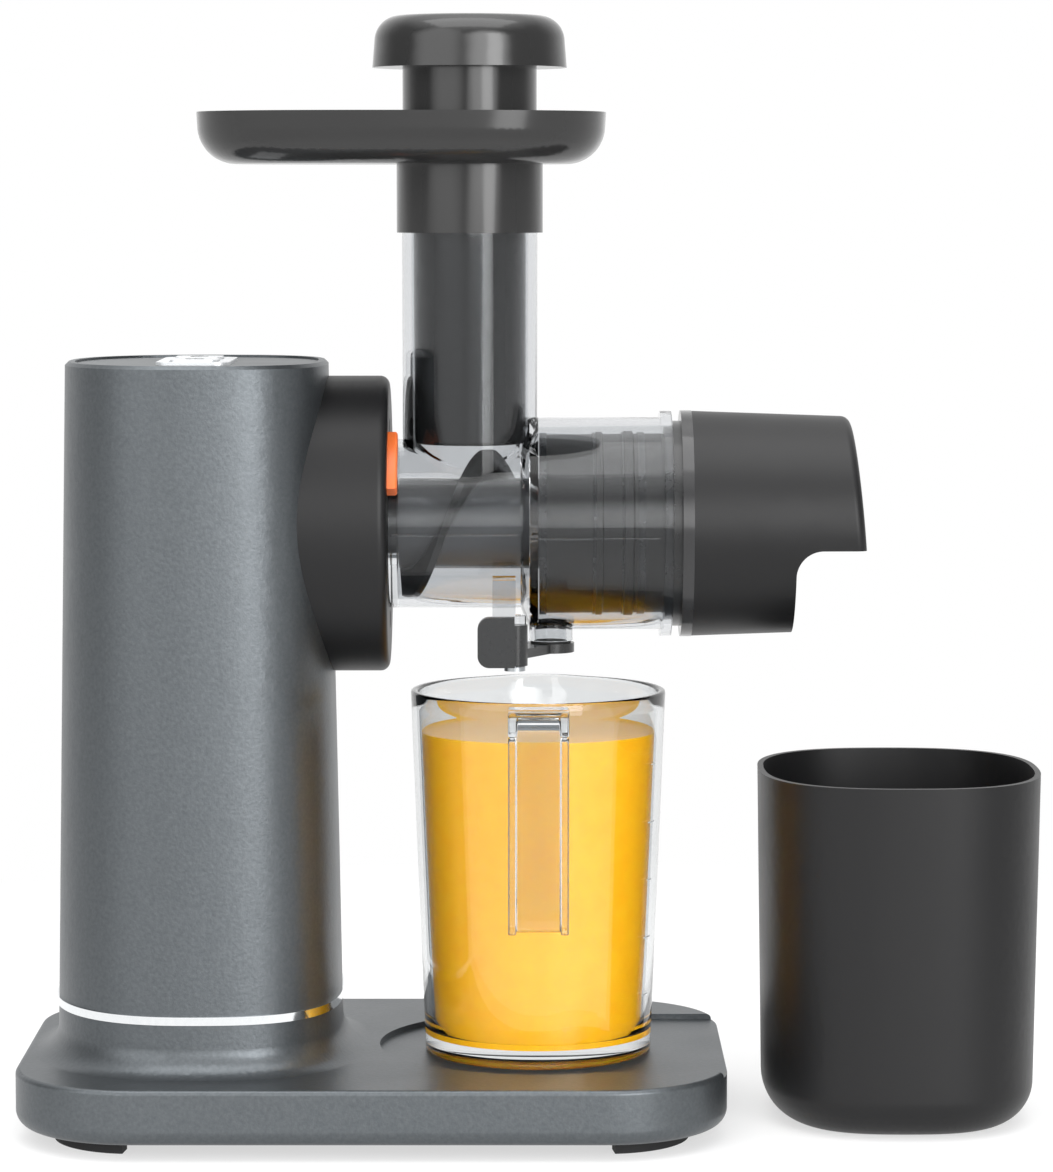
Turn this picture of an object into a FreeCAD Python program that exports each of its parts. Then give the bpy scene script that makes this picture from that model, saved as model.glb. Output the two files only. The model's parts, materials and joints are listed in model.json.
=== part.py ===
import FreeCAD, Part
import math
import os
import Sketcher
from types import SimpleNamespace

# Cold press juicer. Millimetres, +Z up, +X to the juice and pulp side, -Y to the front.
# The origin is on the counter under the middle of the whole set.
# The auger lies along X. Its axis, the motor's and the gear shafts' are all in the plane Y = 0.

SIZES = {
    # base plate
    "base_left_reach": 175.0,
    "base_length": 241.0,
    "base_depth": 163.0,
    "base_height": 19.2,
    "base_corner_radius": 42.0,
    "base_wall": 2.6,
    "base_lower_round": 5.5,
    "base_upper_round": 1.7,
    "base_cover_thickness": 2.5,
    "recess_radius": 55.0,
    "recess_half_width": 51.0,
    "recess_depth": 2.0,
    "recess_blend": 10.0,
    "foot_height": 4.8,
    "foot_outer_radius": 29.0,
    "foot_inner_radius": 21.5,
    "foot_sweep": 76.0,
    "base_screw_radius": 1.7,
    "base_screw_head_radius": 3.2,
    "base_screw_length": 11.0,
    "base_boss_radius": 4.4,
    "base_screw_outset": 11.0,
    # tower
    "tower_inset": 60.0,
    "tower_lower_half_length": 48.75,
    "tower_upper_half_length": 44.8,
    "tower_lower_half_depth": 57.5,
    "tower_upper_half_depth": 51.5,
    "tower_left_power": 2.3,
    "tower_right_power": 2.8,
    "tower_height": 217.3,
    "tower_wall": 2.6,
    "tower_rim_bevel": 1.2,
    "flare_height": 17.2,
    "flare_radius": 9.4,
    "band_height": 2.8,
    "band_proud": 0.7,
    "lid_thickness": 3.0,
    "lid_sunk": 0.8,
    "lid_ledge": 2.4,
    # controls on the tower
    "panel_length": 25.0,
    "panel_depth": 50.0,
    "panel_thickness": 1.0,
    "panel_corner": 5.0,
    "button_length": 16.0,
    "button_depth": 18.0,
    "button_pitch": 22.0,
    "button_corner": 3.0,
    "button_proud": 0.7,
    "button_flange": 1.2,
    "button_travel": 1.2,
    "board_thickness": 1.6,
    "control_board_drop": 8.5,
    "switch_side": 6.0,
    "standoff_radius": 2.2,
    # motor and gears
    "auger_axis_height": 205.2,
    "gear_face_offset": 31.5,
    "motor_length": 49.3,
    "motor_radius": 25.0,
    "motor_can_wall": 1.5,
    "motor_shaft_radius": 2.5,
    "rotor_radius": 16.0,
    "rotor_length": 30.0,
    "magnet_thickness": 5.8,
    "magnet_sweep": 140.0,
    "commutator_radius": 8.0,
    "commutator_length": 6.0,
    "bearing_radius": 6.0,
    "bearing_length": 4.0,
    "pinion_teeth": 14,
    "gear_teeth": 56,
    "fine_module": 0.7,
    "middle_module": 0.9,
    "coarse_module": 1.25,
    "fine_face": 5.0,
    "middle_face": 5.3,
    "coarse_face": 6.0,
    "gear_side_gap": 0.7,
    "gear_wall": 3.0,
    "gear_cover_thickness": 2.5,
    "first_pin_radius": 2.0,
    "second_pin_radius": 3.0,
    "drive_shaft_radius": 6.0,
    "drive_hex_flats": 10.0,
    "bush_wall": 2.6,
    "running_clearance": 0.05,
    "piece_clearance": 0.3,
    # adapter collar on the tower
    "collar_half_height": 50.8,
    "collar_half_depth": 41.0,
    "collar_face_offset": 66.0,
    "collar_front_wall": 13.0,
    "collar_wall": 3.0,
    "collar_round": 3.2,
    "socket_radius": 24.4,
    "socket_depth": 9.0,
    "collar_boss_circle": 33.0,
    "collar_boss_radius": 4.4,
    "collar_screw_radius": 1.6,
    "collar_screw_head_radius": 3.1,
    "release_inner_radius": 31.0,
    "release_outer_radius": 38.5,
    "release_low_angle": 22.0,
    "release_sweep": 36.0,
    "release_proud": 3.4,
    "release_body": 6.5,
    # juicing chamber
    "barrel_radius": 29.0,
    "barrel_wall": 2.8,
    "barrel_length": 45.0,
    "step_length": 3.0,
    "drum_radius": 36.5,
    "drum_wall": 3.0,
    "drum_length": 44.7,
    "rim_radius": 38.7,
    "rim_length": 3.9,
    "spigot_wall": 3.5,
    "spigot_length": 8.0,
    "rear_wall": 3.0,
    "hub_bore": 11.0,
    "chute_inset": 27.6,
    "chute_radius": 23.15,
    "chute_bore": 19.95,
    "chute_top": 322.3,
    "outlet_inset": 55.3,
    "outlet_radius": 7.5,
    "outlet_bore": 5.5,
    "outlet_length": 3.2,
    "outlet_offset": 6.0,
    "lever_inset": 43.0,
    "lever_offset": 27.0,
    "lever_pin_radius": 2.2,
    "lever_sleeve_radius": 4.4,
    "lever_height": 14.0,
    "lever_drop": 46.2,
    # filter and end cap
    "filter_radius": 29.8,
    "filter_wall": 2.0,
    "filter_ring_radius": 31.3,
    "filter_tip_radius": 6.5,
    "tip_pin_radius": 3.0,
    "neck_radius": 35.3,
    "neck_length": 3.1,
    "lock_ring_radius": 38.9,
    "lock_ring_length": 3.8,
    "cap_radius": 38.7,
    "cap_wall": 2.6,
    "cap_lower_length": 34.5,
    "cap_upper_length": 58.2,
    "cap_end_slope": 3.4,
    "cap_draft": 2.0,
    "cap_edge_round": 3.4,
    "cap_step_drop": 6.7,
    "cap_step_round": 9.0,
    # auger
    "auger_core_radius": 15.5,
    "auger_press_radius": 23.0,
    "flight_radius": 25.5,
    "press_flight_radius": 26.9,
    "flight_pitch": 56.0,
    "press_flight_pitch": 18.0,
    "flight_thickness": 4.0,
    "press_flight_thickness": 3.0,
    # tray and pusher
    "tray_bottom": 328.3,
    "tray_height": 17.5,
    "tray_half_length": 69.7,
    "tray_half_depth": 50.0,
    "tray_left_of_chute": 23.2,
    "tray_power": 2.7,
    "tray_round": 13.0,
    "tray_wall": 2.4,
    "tray_neck_radius": 25.0,
    "tray_neck_length": 23.3,
    "tray_ledge": 3.7,
    "pusher_radius": 19.15,
    "pusher_bottom": 232.9,
    "pusher_upper_radius": 22.9,
    "pusher_upper_top": 361.0,
    "pusher_wall": 2.2,
    "pusher_cap_radius": 33.15,
    "pusher_cap_height": 17.5,
    "pusher_cap_round": 8.5,
    # jug
    "jug_inset": 177.0,
    "jug_bottom_radius": 39.0,
    "jug_rim_radius": 44.0,
    "jug_height": 125.8,
    "jug_wall": 2.7,
    "jug_floor": 6.0,
    "jug_lip_reach": 6.0,
    "jug_lip_height": 18.0,
    "handle_width": 20.4,
    "handle_reach": 71.5,
    "handle_length": 77.0,
    "handle_thickness": 3.4,
    "handle_bend": 15.0,
    "handle_flange": 8.0,
    # pulp bin
    "bin_gap": 12.2,
    "bin_height": 120.3,
    "bin_lower_half_length": 46.5,
    "bin_upper_half_length": 48.4,
    "bin_lower_half_depth": 51.5,
    "bin_upper_half_depth": 54.0,
    "bin_power": 2.6,
    "bin_round": 14.0,
    "bin_wall": 2.0,
    # electric parts
    "board_length": 70.0,
    "board_depth": 52.0,
    "gland_radius": 5.0,
    "gland_bore": 3.2,
    "gland_length": 6.0,
}

doc = FreeCAD.newDocument("cold_press_juicer")
sheet = doc.addObject("Spreadsheet::Sheet", "Dimensions")
for row, (name, value) in enumerate(SIZES.items(), start=1):
    sheet.set(f"A{row}", name)
    sheet.set(f"B{row}", str(value))
    sheet.setAlias(f"B{row}", name)
doc.recompute()


class Size:
    """A length that carries its number and the sheet formula that it comes from."""

    def __init__(self, value, formula):
        self.value = float(value)
        self.formula = formula

    def __float__(self):
        return self.value

    def __add__(self, other):
        other = sized(other)
        return Size(self.value + other.value, f"({self.formula} + {other.formula})")

    def __sub__(self, other):
        other = sized(other)
        return Size(self.value - other.value, f"({self.formula} - {other.formula})")

    def __mul__(self, other):
        other = sized(other)
        return Size(self.value * other.value, f"({self.formula} * {other.formula})")

    def __truediv__(self, other):
        other = sized(other)
        return Size(self.value / other.value, f"({self.formula} / {other.formula})")

    def __radd__(self, other):
        return sized(other) + self

    def __rsub__(self, other):
        return sized(other) - self

    def __rmul__(self, other):
        return sized(other) * self

    def __neg__(self):
        return Size(-self.value, f"(0 - {self.formula})")


def sized(item):
    """A plain number as a Size, so that both can be used in one formula."""
    if isinstance(item, Size):
        return item
    return Size(item, f"({float(item)})")


D = SimpleNamespace(**{name: Size(sheet.get(name), f"Dimensions.{name}") for name in SIZES})
X_AXIS = FreeCAD.Vector(1, 0, 0)
Y_AXIS = FreeCAD.Vector(0, 1, 0)
Z_AXIS = FreeCAD.Vector(0, 0, 1)
pieces = {}


def spot(x=0, y=0, z=0):
    return FreeCAD.Vector(float(x), float(y), float(z))


def keep(name, item):
    """Registers a finished piece under its own name."""
    item.Label = name
    pieces[name] = item
    return item


def place(item, x=0, y=0, z=0, turn=None):
    """Puts an object at a place worked out from the sheet."""
    item.Placement = FreeCAD.Placement(spot(x, y, z), turn or FreeCAD.Rotation())
    for axis, amount in (("x", x), ("y", y), ("z", z)):
        amount = sized(amount)
        if amount.formula != "(0.0)":
            item.setExpression(f"Placement.Base.{axis}", amount.formula)


def bind(item, **sizes):
    """Binds properties to the sheet."""
    for name, amount in sizes.items():
        setattr(item, name, float(amount))
        item.setExpression(name, sized(amount).formula)


def pin_point(sketch, index, vertex, u, v):
    """Holds one sketch point at (u, v)."""
    for kind, amount, axis in (("DistanceX", sized(u), -2), ("DistanceY", sized(v), -1)):
        if amount.formula == "(0.0)":
            sketch.addConstraint(Sketcher.Constraint("PointOnObject", index, vertex, axis))
            continue
        held = Sketcher.Constraint(kind, -1, 1, index, vertex, amount.value)
        number = sketch.addConstraint(held)
        sketch.setExpression(f"Constraints[{number}]", amount.formula)


def draw_outline(sketch, corners):
    """Closed outline through corners (u, v) or (u, v, radius), each held by the sheet."""
    count = len(corners)
    points = [spot(corner[0], corner[1]) for corner in corners]
    entries = []
    exits = []
    arcs = []
    for index, corner in enumerate(corners):
        here = points[index]
        if len(corner) < 3:
            entries.append(here)
            exits.append(here)
            arcs.append(None)
            continue
        before = (here - points[index - 1]).normalize()
        after = (points[(index + 1) % count] - here).normalize()
        turn = before.getAngle(after)
        setback = float(corner[2]) * math.tan(turn / 2)
        entries.append(here - before * setback)
        exits.append(here + after * setback)
        inward = (after - before).normalize()
        centre = here + inward * (float(corner[2]) / math.cos(turn / 2))
        arcs.append((centre, before.cross(after).z > 0))
    lines = []
    for index in range(count):
        line = Part.LineSegment(exits[index], entries[(index + 1) % count])
        lines.append(sketch.addGeometry(line, False))
    for index, corner in enumerate(corners):
        line_in = lines[index - 1]
        line_out = lines[index]
        if arcs[index] is None:
            sketch.addConstraint(Sketcher.Constraint("Coincident", line_in, 2, line_out, 1))
            pin_point(sketch, line_out, 1, corner[0], corner[1])
            continue
        centre, left_turn = arcs[index]
        first, last = (entries[index], exits[index]) if left_turn else (exits[index], entries[index])
        start = math.atan2(first.y - centre.y, first.x - centre.x)
        stop = math.atan2(last.y - centre.y, last.x - centre.x)
        circle = Part.Circle(centre, Z_AXIS, float(corner[2]))
        arc = sketch.addGeometry(Part.ArcOfCircle(circle, start, stop), False)
        ends = (1, 2) if left_turn else (2, 1)
        mark = sketch.addGeometry(Part.Point(points[index]), True)
        sketch.addConstraint(Sketcher.Constraint("Tangent", line_in, 2, arc, ends[0]))
        sketch.addConstraint(Sketcher.Constraint("Tangent", arc, ends[1], line_out, 1))
        sketch.addConstraint(Sketcher.Constraint("PointOnObject", mark, 1, line_in))
        sketch.addConstraint(Sketcher.Constraint("PointOnObject", mark, 1, line_out))
        pin_point(sketch, mark, 1, corner[0], corner[1])
        held = Sketcher.Constraint("Radius", arc, float(corner[2]))
        number = sketch.addConstraint(held)
        sketch.setExpression(f"Constraints[{number}]", sized(corner[2]).formula)


def body_with_outline(name, plane, corners):
    """A body with one sketch on its own origin plane."""
    body = doc.addObject("PartDesign::Body", name)
    sketch = body.newObject("Sketcher::SketchObject", name + "_outline")
    support = [item for item in body.Origin.OriginFeatures if item.Role == plane][0]
    sketch.AttachmentSupport = [(support, "")]
    sketch.MapMode = "FlatFace"
    draw_outline(sketch, corners)
    return body, sketch


def turned(name, axis, corners, x=0, y=0, z=0):
    """A turned piece: outline (along X, radius) about X, or (radius, height) about Z."""
    body, sketch = body_with_outline(name, "XZ_Plane", corners)
    turn = body.newObject("PartDesign::Revolution", name + "_turn")
    turn.Profile = sketch
    turn.ReferenceAxis = (sketch, ["H_Axis" if axis == "X" else "V_Axis"])
    turn.Angle = 360
    place(body, x, y, z)
    return body


def padded(name, plane, corners, thickness, x=0, y=0, z=0):
    """A flat piece: outline on XY padded up, or on YZ padded towards +X."""
    body, sketch = body_with_outline(name, plane, corners)
    pad = body.newObject("PartDesign::Pad", name + "_pad")
    pad.Profile = sketch
    bind(pad, Length=thickness)
    place(body, x, y, z)
    return body


def rectangle(half_u, half_v, radius=None):
    """Corners of a rectangle about the origin."""
    ends = [(-half_u, -half_v), (half_u, -half_v), (half_u, half_v), (-half_u, half_v)]
    if radius is None:
        return ends
    return [(u, v, radius) for u, v in ends]


def rod(name, radius, length, x=0, y=0, z=0, along="Z", sweep=None):
    """A cylinder along X, Y or Z from its low end."""
    item = doc.addObject("Part::Cylinder", name)
    bind(item, Radius=radius, Height=length)
    if sweep is not None:
        bind(item, Angle=sweep)
    turns = {
        "X": FreeCAD.Rotation(Y_AXIS, 90),
        "Y": FreeCAD.Rotation(X_AXIS, -90),
        "Z": FreeCAD.Rotation(),
    }
    place(item, x, y, z, turns[along])
    return item


def brick(name, length, depth, height, x=0, y=0, z=0):
    """A box from its low corner."""
    item = doc.addObject("Part::Box", name)
    bind(item, Length=length, Width=depth, Height=height)
    place(item, x, y, z)
    return item


def cut(name, base, *tools):
    """Base with the tools taken away, one after another."""
    for index, tool in enumerate(tools):
        last = index == len(tools) - 1
        step = doc.addObject("Part::Cut", name if last else f"{name}_step{index}")
        step.Base = base
        step.Tool = tool
        base = step
    return base


def fuse(name, *items):
    item = doc.addObject("Part::MultiFuse", name)
    item.Shapes = list(items)
    return item


def shaped(name, shape):
    """A piece whose solid is worked out in code, in place, from the sheet's values."""
    item = doc.addObject("Part::Feature", name)
    item.Shape = shape
    return item


def oval(centre, half_x, half_y, left_power=2.0, right_power=2.0, z=0):
    """Closed smooth curve |x/a|^n + |y/b|^n = 1 at height z."""
    count = 48
    points = []
    for step in range(count):
        angle = 2 * math.pi * (step + 0.5) / count
        cosine = math.cos(angle)
        sine = math.sin(angle)
        power = float(right_power) if cosine > 0 else float(left_power)
        u = math.copysign(abs(cosine) ** (2 / power), cosine) * float(half_x)
        v = math.copysign(abs(sine) ** (2 / power), sine) * float(half_y)
        points.append(FreeCAD.Vector(float(centre) + u, v, float(z)))
    curve = Part.BSplineCurve()
    curve.interpolate(points, PeriodicFlag=True)
    return Part.Wire(curve.toShape())


def lofted(wires):
    return Part.makeLoft(wires, True, True)


def edges_where(shape, test):
    """Edges whose middle point passes the test."""
    found = []
    for edge in shape.Edges:
        middle = edge.valueAt((edge.FirstParameter + edge.LastParameter) / 2)
        if test(middle, edge):
            found.append(edge)
    return found


def rounded_plate(x_low, x_high, half_depth, radius, z_low, z_high):
    """Plate with round corners, standing on z_low."""
    r = float(radius)
    x_low, x_high, y = float(x_low), float(x_high), float(half_depth)
    plate = Part.makeBox(x_high - x_low, 2 * y, float(z_high) - float(z_low), spot(x_low, -y, z_low))
    upright = edges_where(plate, lambda middle, edge: abs(edge.tangentAt(edge.FirstParameter).z) > 0.9)
    return plate.makeFillet(r, upright)


# Places that several pieces share
base_left = -D.base_left_reach
base_right = base_left + D.base_length
base_half_depth = D.base_depth / 2
base_bottom = D.foot_height
base_top = base_bottom + D.base_height
tower_x = base_left + D.tower_inset
band_bottom = base_top + D.flare_height
tower_bottom = band_bottom + D.band_height
tower_top = tower_bottom + D.tower_height
jug_x = base_left + D.jug_inset
jug_bottom = base_top - D.recess_depth
collar_face = tower_x + D.collar_face_offset
gear_face = tower_x + D.gear_face_offset
housing_face = gear_face + D.gear_wall
axis_z = D.auger_axis_height
chute_x = collar_face + D.chute_inset
drum_start = collar_face + D.barrel_length + D.step_length
drum_end = drum_start + D.drum_length
chamber_end = drum_end + D.rim_length
neck_end = chamber_end + D.neck_length
cap_start = neck_end + D.lock_ring_length
bin_x = base_right + D.bin_gap + D.bin_upper_half_length
foot_left = base_left + D.base_corner_radius
foot_right = base_right - D.base_corner_radius
foot_y = base_half_depth - D.base_corner_radius
cover_top = base_bottom + D.base_cover_thickness
cavity_top = jug_bottom - D.base_wall
CORNERS = (
    ("front_left", foot_left, -foot_y, 180.0),
    ("front_right", foot_right, -foot_y, 270.0),
    ("rear_left", foot_left, foot_y, 90.0),
    ("rear_right", foot_right, foot_y, 0.0),
)
SCREWS = tuple(
    (x + u * D.base_screw_outset, v * (foot_y + D.base_screw_outset))
    for x, u in ((foot_left, -1), (foot_right, 1)) for v in (-1, 1)
)


def tower_section(height, grow=0.0):
    """Tower outline at a height, grown outwards by an amount."""
    share = (float(height) - float(tower_bottom)) / float(D.tower_height)
    half_x = float(D.tower_lower_half_length) * (1 - share) + float(D.tower_upper_half_length) * share
    half_y = float(D.tower_lower_half_depth) * (1 - share) + float(D.tower_upper_half_depth) * share
    grow = float(grow)
    return oval(tower_x, half_x + grow, half_y + grow, D.tower_left_power, D.tower_right_power, height)


def tower_block(low, high, grow_low=0.0, grow_high=None):
    grow_high = grow_low if grow_high is None else grow_high
    return lofted([tower_section(low, grow_low), tower_section(high, grow_high)])


def make_base():
    """Hollow plate with the jug's recess and the flared foot of the tower."""
    plate = rounded_plate(base_left, base_right, base_half_depth, D.base_corner_radius, base_bottom, base_top)
    z_low, z_high = float(base_bottom), float(base_top)
    low_edges = edges_where(plate, lambda middle, edge: abs(middle.z - z_low) < 0.01)
    plate = plate.makeFillet(float(D.base_lower_round), low_edges)
    top_edges = edges_where(plate, lambda middle, edge: abs(middle.z - z_high) < 0.01)
    plate = plate.makeFillet(float(D.base_upper_round), top_edges)
    stub = tower_block(cavity_top, band_bottom)
    solid = plate.fuse(stub)
    sleeve = float(tower_x) + float(D.tower_lower_half_length)
    root = edges_where(
        solid,
        lambda middle, edge: abs(middle.z - z_high) < 0.01 and middle.x < sleeve + 1 and edge.Length > 200
        and abs(middle.y) < float(base_half_depth) - float(D.base_upper_round) - 0.5,
    )
    solid = solid.makeFillet(float(D.flare_radius), root)
    recess_disc = Part.makeCylinder(float(D.recess_radius), float(D.recess_depth) + 5, spot(jug_x, 0, jug_bottom))
    reach = float(base_right) - float(jug_x) + 5
    channel = Part.makeBox(
        reach, 2 * float(D.recess_half_width), float(D.recess_depth) + 5,
        spot(jug_x, -D.recess_half_width, jug_bottom),
    )
    recess = recess_disc.fuse(channel).removeSplitter()
    blends = edges_where(
        recess,
        lambda middle, edge: abs(edge.tangentAt(edge.FirstParameter).z) > 0.9 and middle.x > float(jug_x) + 1
        and middle.x < float(base_right),
    )
    recess = recess.makeFillet(float(D.recess_blend), blends)
    solid = solid.cut(recess)
    wall = D.base_wall
    hollow = rounded_plate(
        base_left + wall, base_right - wall, base_half_depth - wall,
        D.base_corner_radius - wall, cover_top, cavity_top,
    )
    seat = D.base_lower_round
    cover_room = rounded_plate(
        base_left + seat, base_right - seat, base_half_depth - seat,
        D.base_corner_radius - seat, base_bottom - 1, cover_top,
    )
    hollow = hollow.fuse(cover_room)
    shaft = tower_block(cavity_top - 1, band_bottom + 1, -D.tower_wall)
    solid = solid.cut(hollow).cut(shaft)
    for x, y in SCREWS:
        boss = Part.makeCylinder(float(D.base_boss_radius), float(cavity_top - cover_top) + 1, spot(x, y, cover_top))
        bore = Part.makeCylinder(float(D.base_screw_radius), float(D.base_screw_length), spot(x, y, base_bottom))
        solid = solid.fuse(boss).cut(bore)
    gland_hole = Part.makeCylinder(
        float(D.gland_radius), 20.0, spot(tower_x, base_half_depth - 10, (cover_top + cavity_top) / 2), Y_AXIS
    )
    solid = solid.cut(gland_hole)
    keep("base_shell", shaped("base_shell", solid))


def make_base_cover():
    """Flat cover under the plate, with countersunk holes and posts for the power board."""
    inset = D.base_lower_round + D.piece_clearance
    cover = rounded_plate(
        base_left + inset, base_right - inset, base_half_depth - inset,
        D.base_corner_radius - inset, base_bottom, cover_top,
    )
    for x, y in SCREWS:
        bore = Part.makeCylinder(float(D.base_screw_radius), float(D.base_cover_thickness), spot(x, y, base_bottom))
        head = Part.makeCylinder(float(D.base_screw_head_radius), 1.2, spot(x, y, base_bottom))
        cover = cover.cut(bore).cut(head)
    for x, y in board_corners():
        post = Part.makeCylinder(float(D.standoff_radius), 2.0, spot(x, y, cover_top))
        cover = cover.fuse(post)
    keep("base_cover", shaped("base_cover", cover))


def board_corners():
    half_x = D.board_length / 2 - 5
    half_y = D.board_depth / 2 - 5
    return [(tower_x + u * half_x, v * half_y) for u in (-1, 1) for v in (-1, 1)]


def make_feet_and_screws():
    for corner, x, y, start in CORNERS:
        name = "foot_" + corner
        outer = rod(name + "_outer", D.foot_outer_radius, D.foot_height, x, y, 0, "Z", D.foot_sweep)
        inner = rod(name + "_inner", D.foot_inner_radius, D.foot_height, x, y, 0, "Z", D.foot_sweep)
        spin = FreeCAD.Rotation(Z_AXIS, start + (90.0 - float(D.foot_sweep)) / 2)
        outer.Placement = FreeCAD.Placement(spot(x, y, 0), spin)
        inner.Placement = FreeCAD.Placement(spot(x, y, 0), spin)
        keep(name, cut(name, outer, inner))
    screws = []
    for x, y in SCREWS:
        shank = Part.makeCylinder(float(D.base_screw_radius), float(D.base_screw_length), spot(x, y, base_bottom))
        head = Part.makeCylinder(float(D.base_screw_head_radius), 1.2, spot(x, y, base_bottom))
        screws.append(shank.fuse(head))
    keep("base_screws", shaped("base_screws", Part.makeCompound(screws)))


def make_tower():
    bevel_start = tower_top - D.tower_rim_bevel
    outer = tower_block(tower_bottom, bevel_start)
    rim = tower_block(bevel_start, tower_top, 0, -D.tower_rim_bevel)
    lid_top = tower_top - D.lid_sunk
    lid_bottom = lid_top - D.lid_thickness
    wall = D.tower_wall
    inside = tower_block(tower_bottom, lid_bottom - D.lid_ledge, -wall)
    throat = tower_block(lid_bottom - D.lid_ledge, lid_bottom, -wall - D.lid_ledge)
    seat = tower_block(lid_bottom, tower_top, -wall - D.tower_rim_bevel * 0.6)
    shell = outer.fuse(rim).cut(inside).cut(throat).cut(seat)
    window = oval(0, D.collar_half_depth, D.collar_half_height)
    window = turned_oval(window, gear_face, 60)
    shell = shell.cut(window)
    keep("tower_shell", shaped("tower_shell", shell))
    band = tower_block(band_bottom, tower_bottom, D.band_proud).cut(
        tower_block(band_bottom, tower_bottom, -D.tower_wall)
    )
    keep("chrome_band", shaped("chrome_band", band))
    fit = wall + D.tower_rim_bevel * 0.6 + 0.15
    lid = tower_block(lid_bottom, lid_top, -fit)
    for sign in (-1, 1):
        lid = lid.cut(button_block(sign, D.piece_clearance, lid_bottom, lid_top))
    for x, y in control_corners():
        height = D.control_board_drop - D.lid_thickness
        post = Part.makeCylinder(float(D.standoff_radius), float(height), spot(x, y, lid_bottom - height))
        lid = lid.fuse(post)
    keep("tower_lid", shaped("tower_lid", lid))


def turned_oval(wire, x, length):
    """Turns a flat oval into the YZ plane and pushes it along X."""
    face = Part.Face(wire)
    face.rotate(spot(), Y_AXIS, 90)
    face.rotate(spot(), X_AXIS, 90)
    face.translate(spot(x, 0, axis_z))
    return face.extrude(spot(length))


def control_corners():
    half_x = D.panel_length / 2 + 3
    half_y = D.panel_depth / 2 + 3
    return [(tower_x + u * half_x, v * half_y) for u in (-1, 1) for v in (-1, 1)]


def button_block(sign, grow, low, high):
    half_x = float(D.button_length / 2 + grow)
    half_y = float(D.button_depth / 2 + grow)
    y = sign * float(D.button_pitch) / 2
    block = Part.makeBox(2 * half_x, 2 * half_y, float(high) - float(low), spot(float(tower_x) - half_x, y - half_y, low))
    upright = edges_where(block, lambda middle, edge: abs(edge.tangentAt(edge.FirstParameter).z) > 0.9)
    return block.makeFillet(float(D.button_corner), upright)


def make_controls():
    lid_top = tower_top - D.lid_sunk
    lid_bottom = lid_top - D.lid_thickness
    panel_top = lid_top + D.panel_thickness
    panel = padded("control_panel_plate", "XY_Plane", rectangle(D.panel_length / 2, D.panel_depth / 2, D.panel_corner),
                   D.panel_thickness, tower_x, 0, lid_top)
    openings = []
    for label, sign in (("start_button", -1), ("reverse_button", 1)):
        hole = padded(
            label + "_hole", "XY_Plane",
            rectangle(D.button_length / 2 + D.piece_clearance, D.button_depth / 2 + D.piece_clearance, D.button_corner),
            D.panel_thickness + 2, tower_x, sign * D.button_pitch / 2, lid_top - 1,
        )
        openings.append(hole)
        cap = padded(
            label + "_cap", "XY_Plane", rectangle(D.button_length / 2, D.button_depth / 2, D.button_corner),
            D.lid_thickness + D.panel_thickness + D.button_proud + D.piece_clearance,
            tower_x, sign * D.button_pitch / 2, lid_bottom - D.piece_clearance,
        )
        flange = padded(
            label + "_flange", "XY_Plane",
            rectangle(D.button_length / 2 + D.button_flange, D.button_depth / 2 + D.button_flange, D.button_corner),
            D.button_flange, tower_x, sign * D.button_pitch / 2,
            lid_bottom - D.piece_clearance - D.button_flange,
        )
        keep(label, fuse(label, cap, flange))
    keep("control_panel", cut("control_panel", panel, *openings))
    board_top = lid_top - D.control_board_drop
    board = padded(
        "control_board", "XY_Plane", rectangle(D.panel_length / 2 + 6, D.panel_depth / 2 + 6),
        D.board_thickness, tower_x, 0, board_top - D.board_thickness,
    )
    keep("control_board", board)
    switch_top = lid_bottom - D.piece_clearance - D.button_flange - D.button_travel - 0.2
    switches = []
    for sign in (-1, 1):
        y = sign * D.button_pitch / 2
        side = D.switch_side
        switches.append(brick(
            f"switch_body_{sign + 1}", side, side, switch_top - board_top,
            tower_x - side / 2, y - side / 2, board_top,
        ))
    pair = doc.addObject("Part::Compound", "tact_switches")
    pair.Links = switches
    keep("tact_switches", pair)


def make_electrics():
    board_z = cover_top + 2
    board = padded(
        "power_board", "XY_Plane", rectangle(D.board_length / 2, D.board_depth / 2), D.board_thickness,
        tower_x, 0, board_z,
    )
    keep("power_board", board)
    top = board_z + D.board_thickness
    can = rod("capacitor", 5.0, 14.0, tower_x - 28, -12, top + 5, "X")
    relay = brick("relay", 15.0, 12.0, 9.0, tower_x - 4, -14, top)
    bridge = brick("bridge_rectifier", 12.0, 5.0, 9.0, tower_x + 15, -8, top)
    terminal = brick("terminal_block", 18.0, 8.0, 8.5, tower_x - 9, 12, top)
    group = doc.addObject("Part::Compound", "board_components")
    group.Links = [can, relay, bridge, terminal]
    keep("board_components", group)
    height = (cover_top + cavity_top) / 2
    inner = base_half_depth - D.base_wall
    sleeve = rod("gland_sleeve", D.gland_radius, D.gland_length - 0.4, tower_x, base_half_depth - D.gland_length, height, "Y")
    flange = rod("gland_flange", D.gland_radius + 1.0, 2.0, tower_x, inner - 2, height, "Y")
    bore = rod("gland_hole", D.gland_bore, D.gland_length + 2, tower_x, base_half_depth - D.gland_length - 1, height, "Y")
    keep("cable_gland", cut("cable_gland", fuse("gland_solid", sleeve, flange), bore))


def gear_radius(module, teeth):
    return float(module) * float(teeth) / 2


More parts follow.
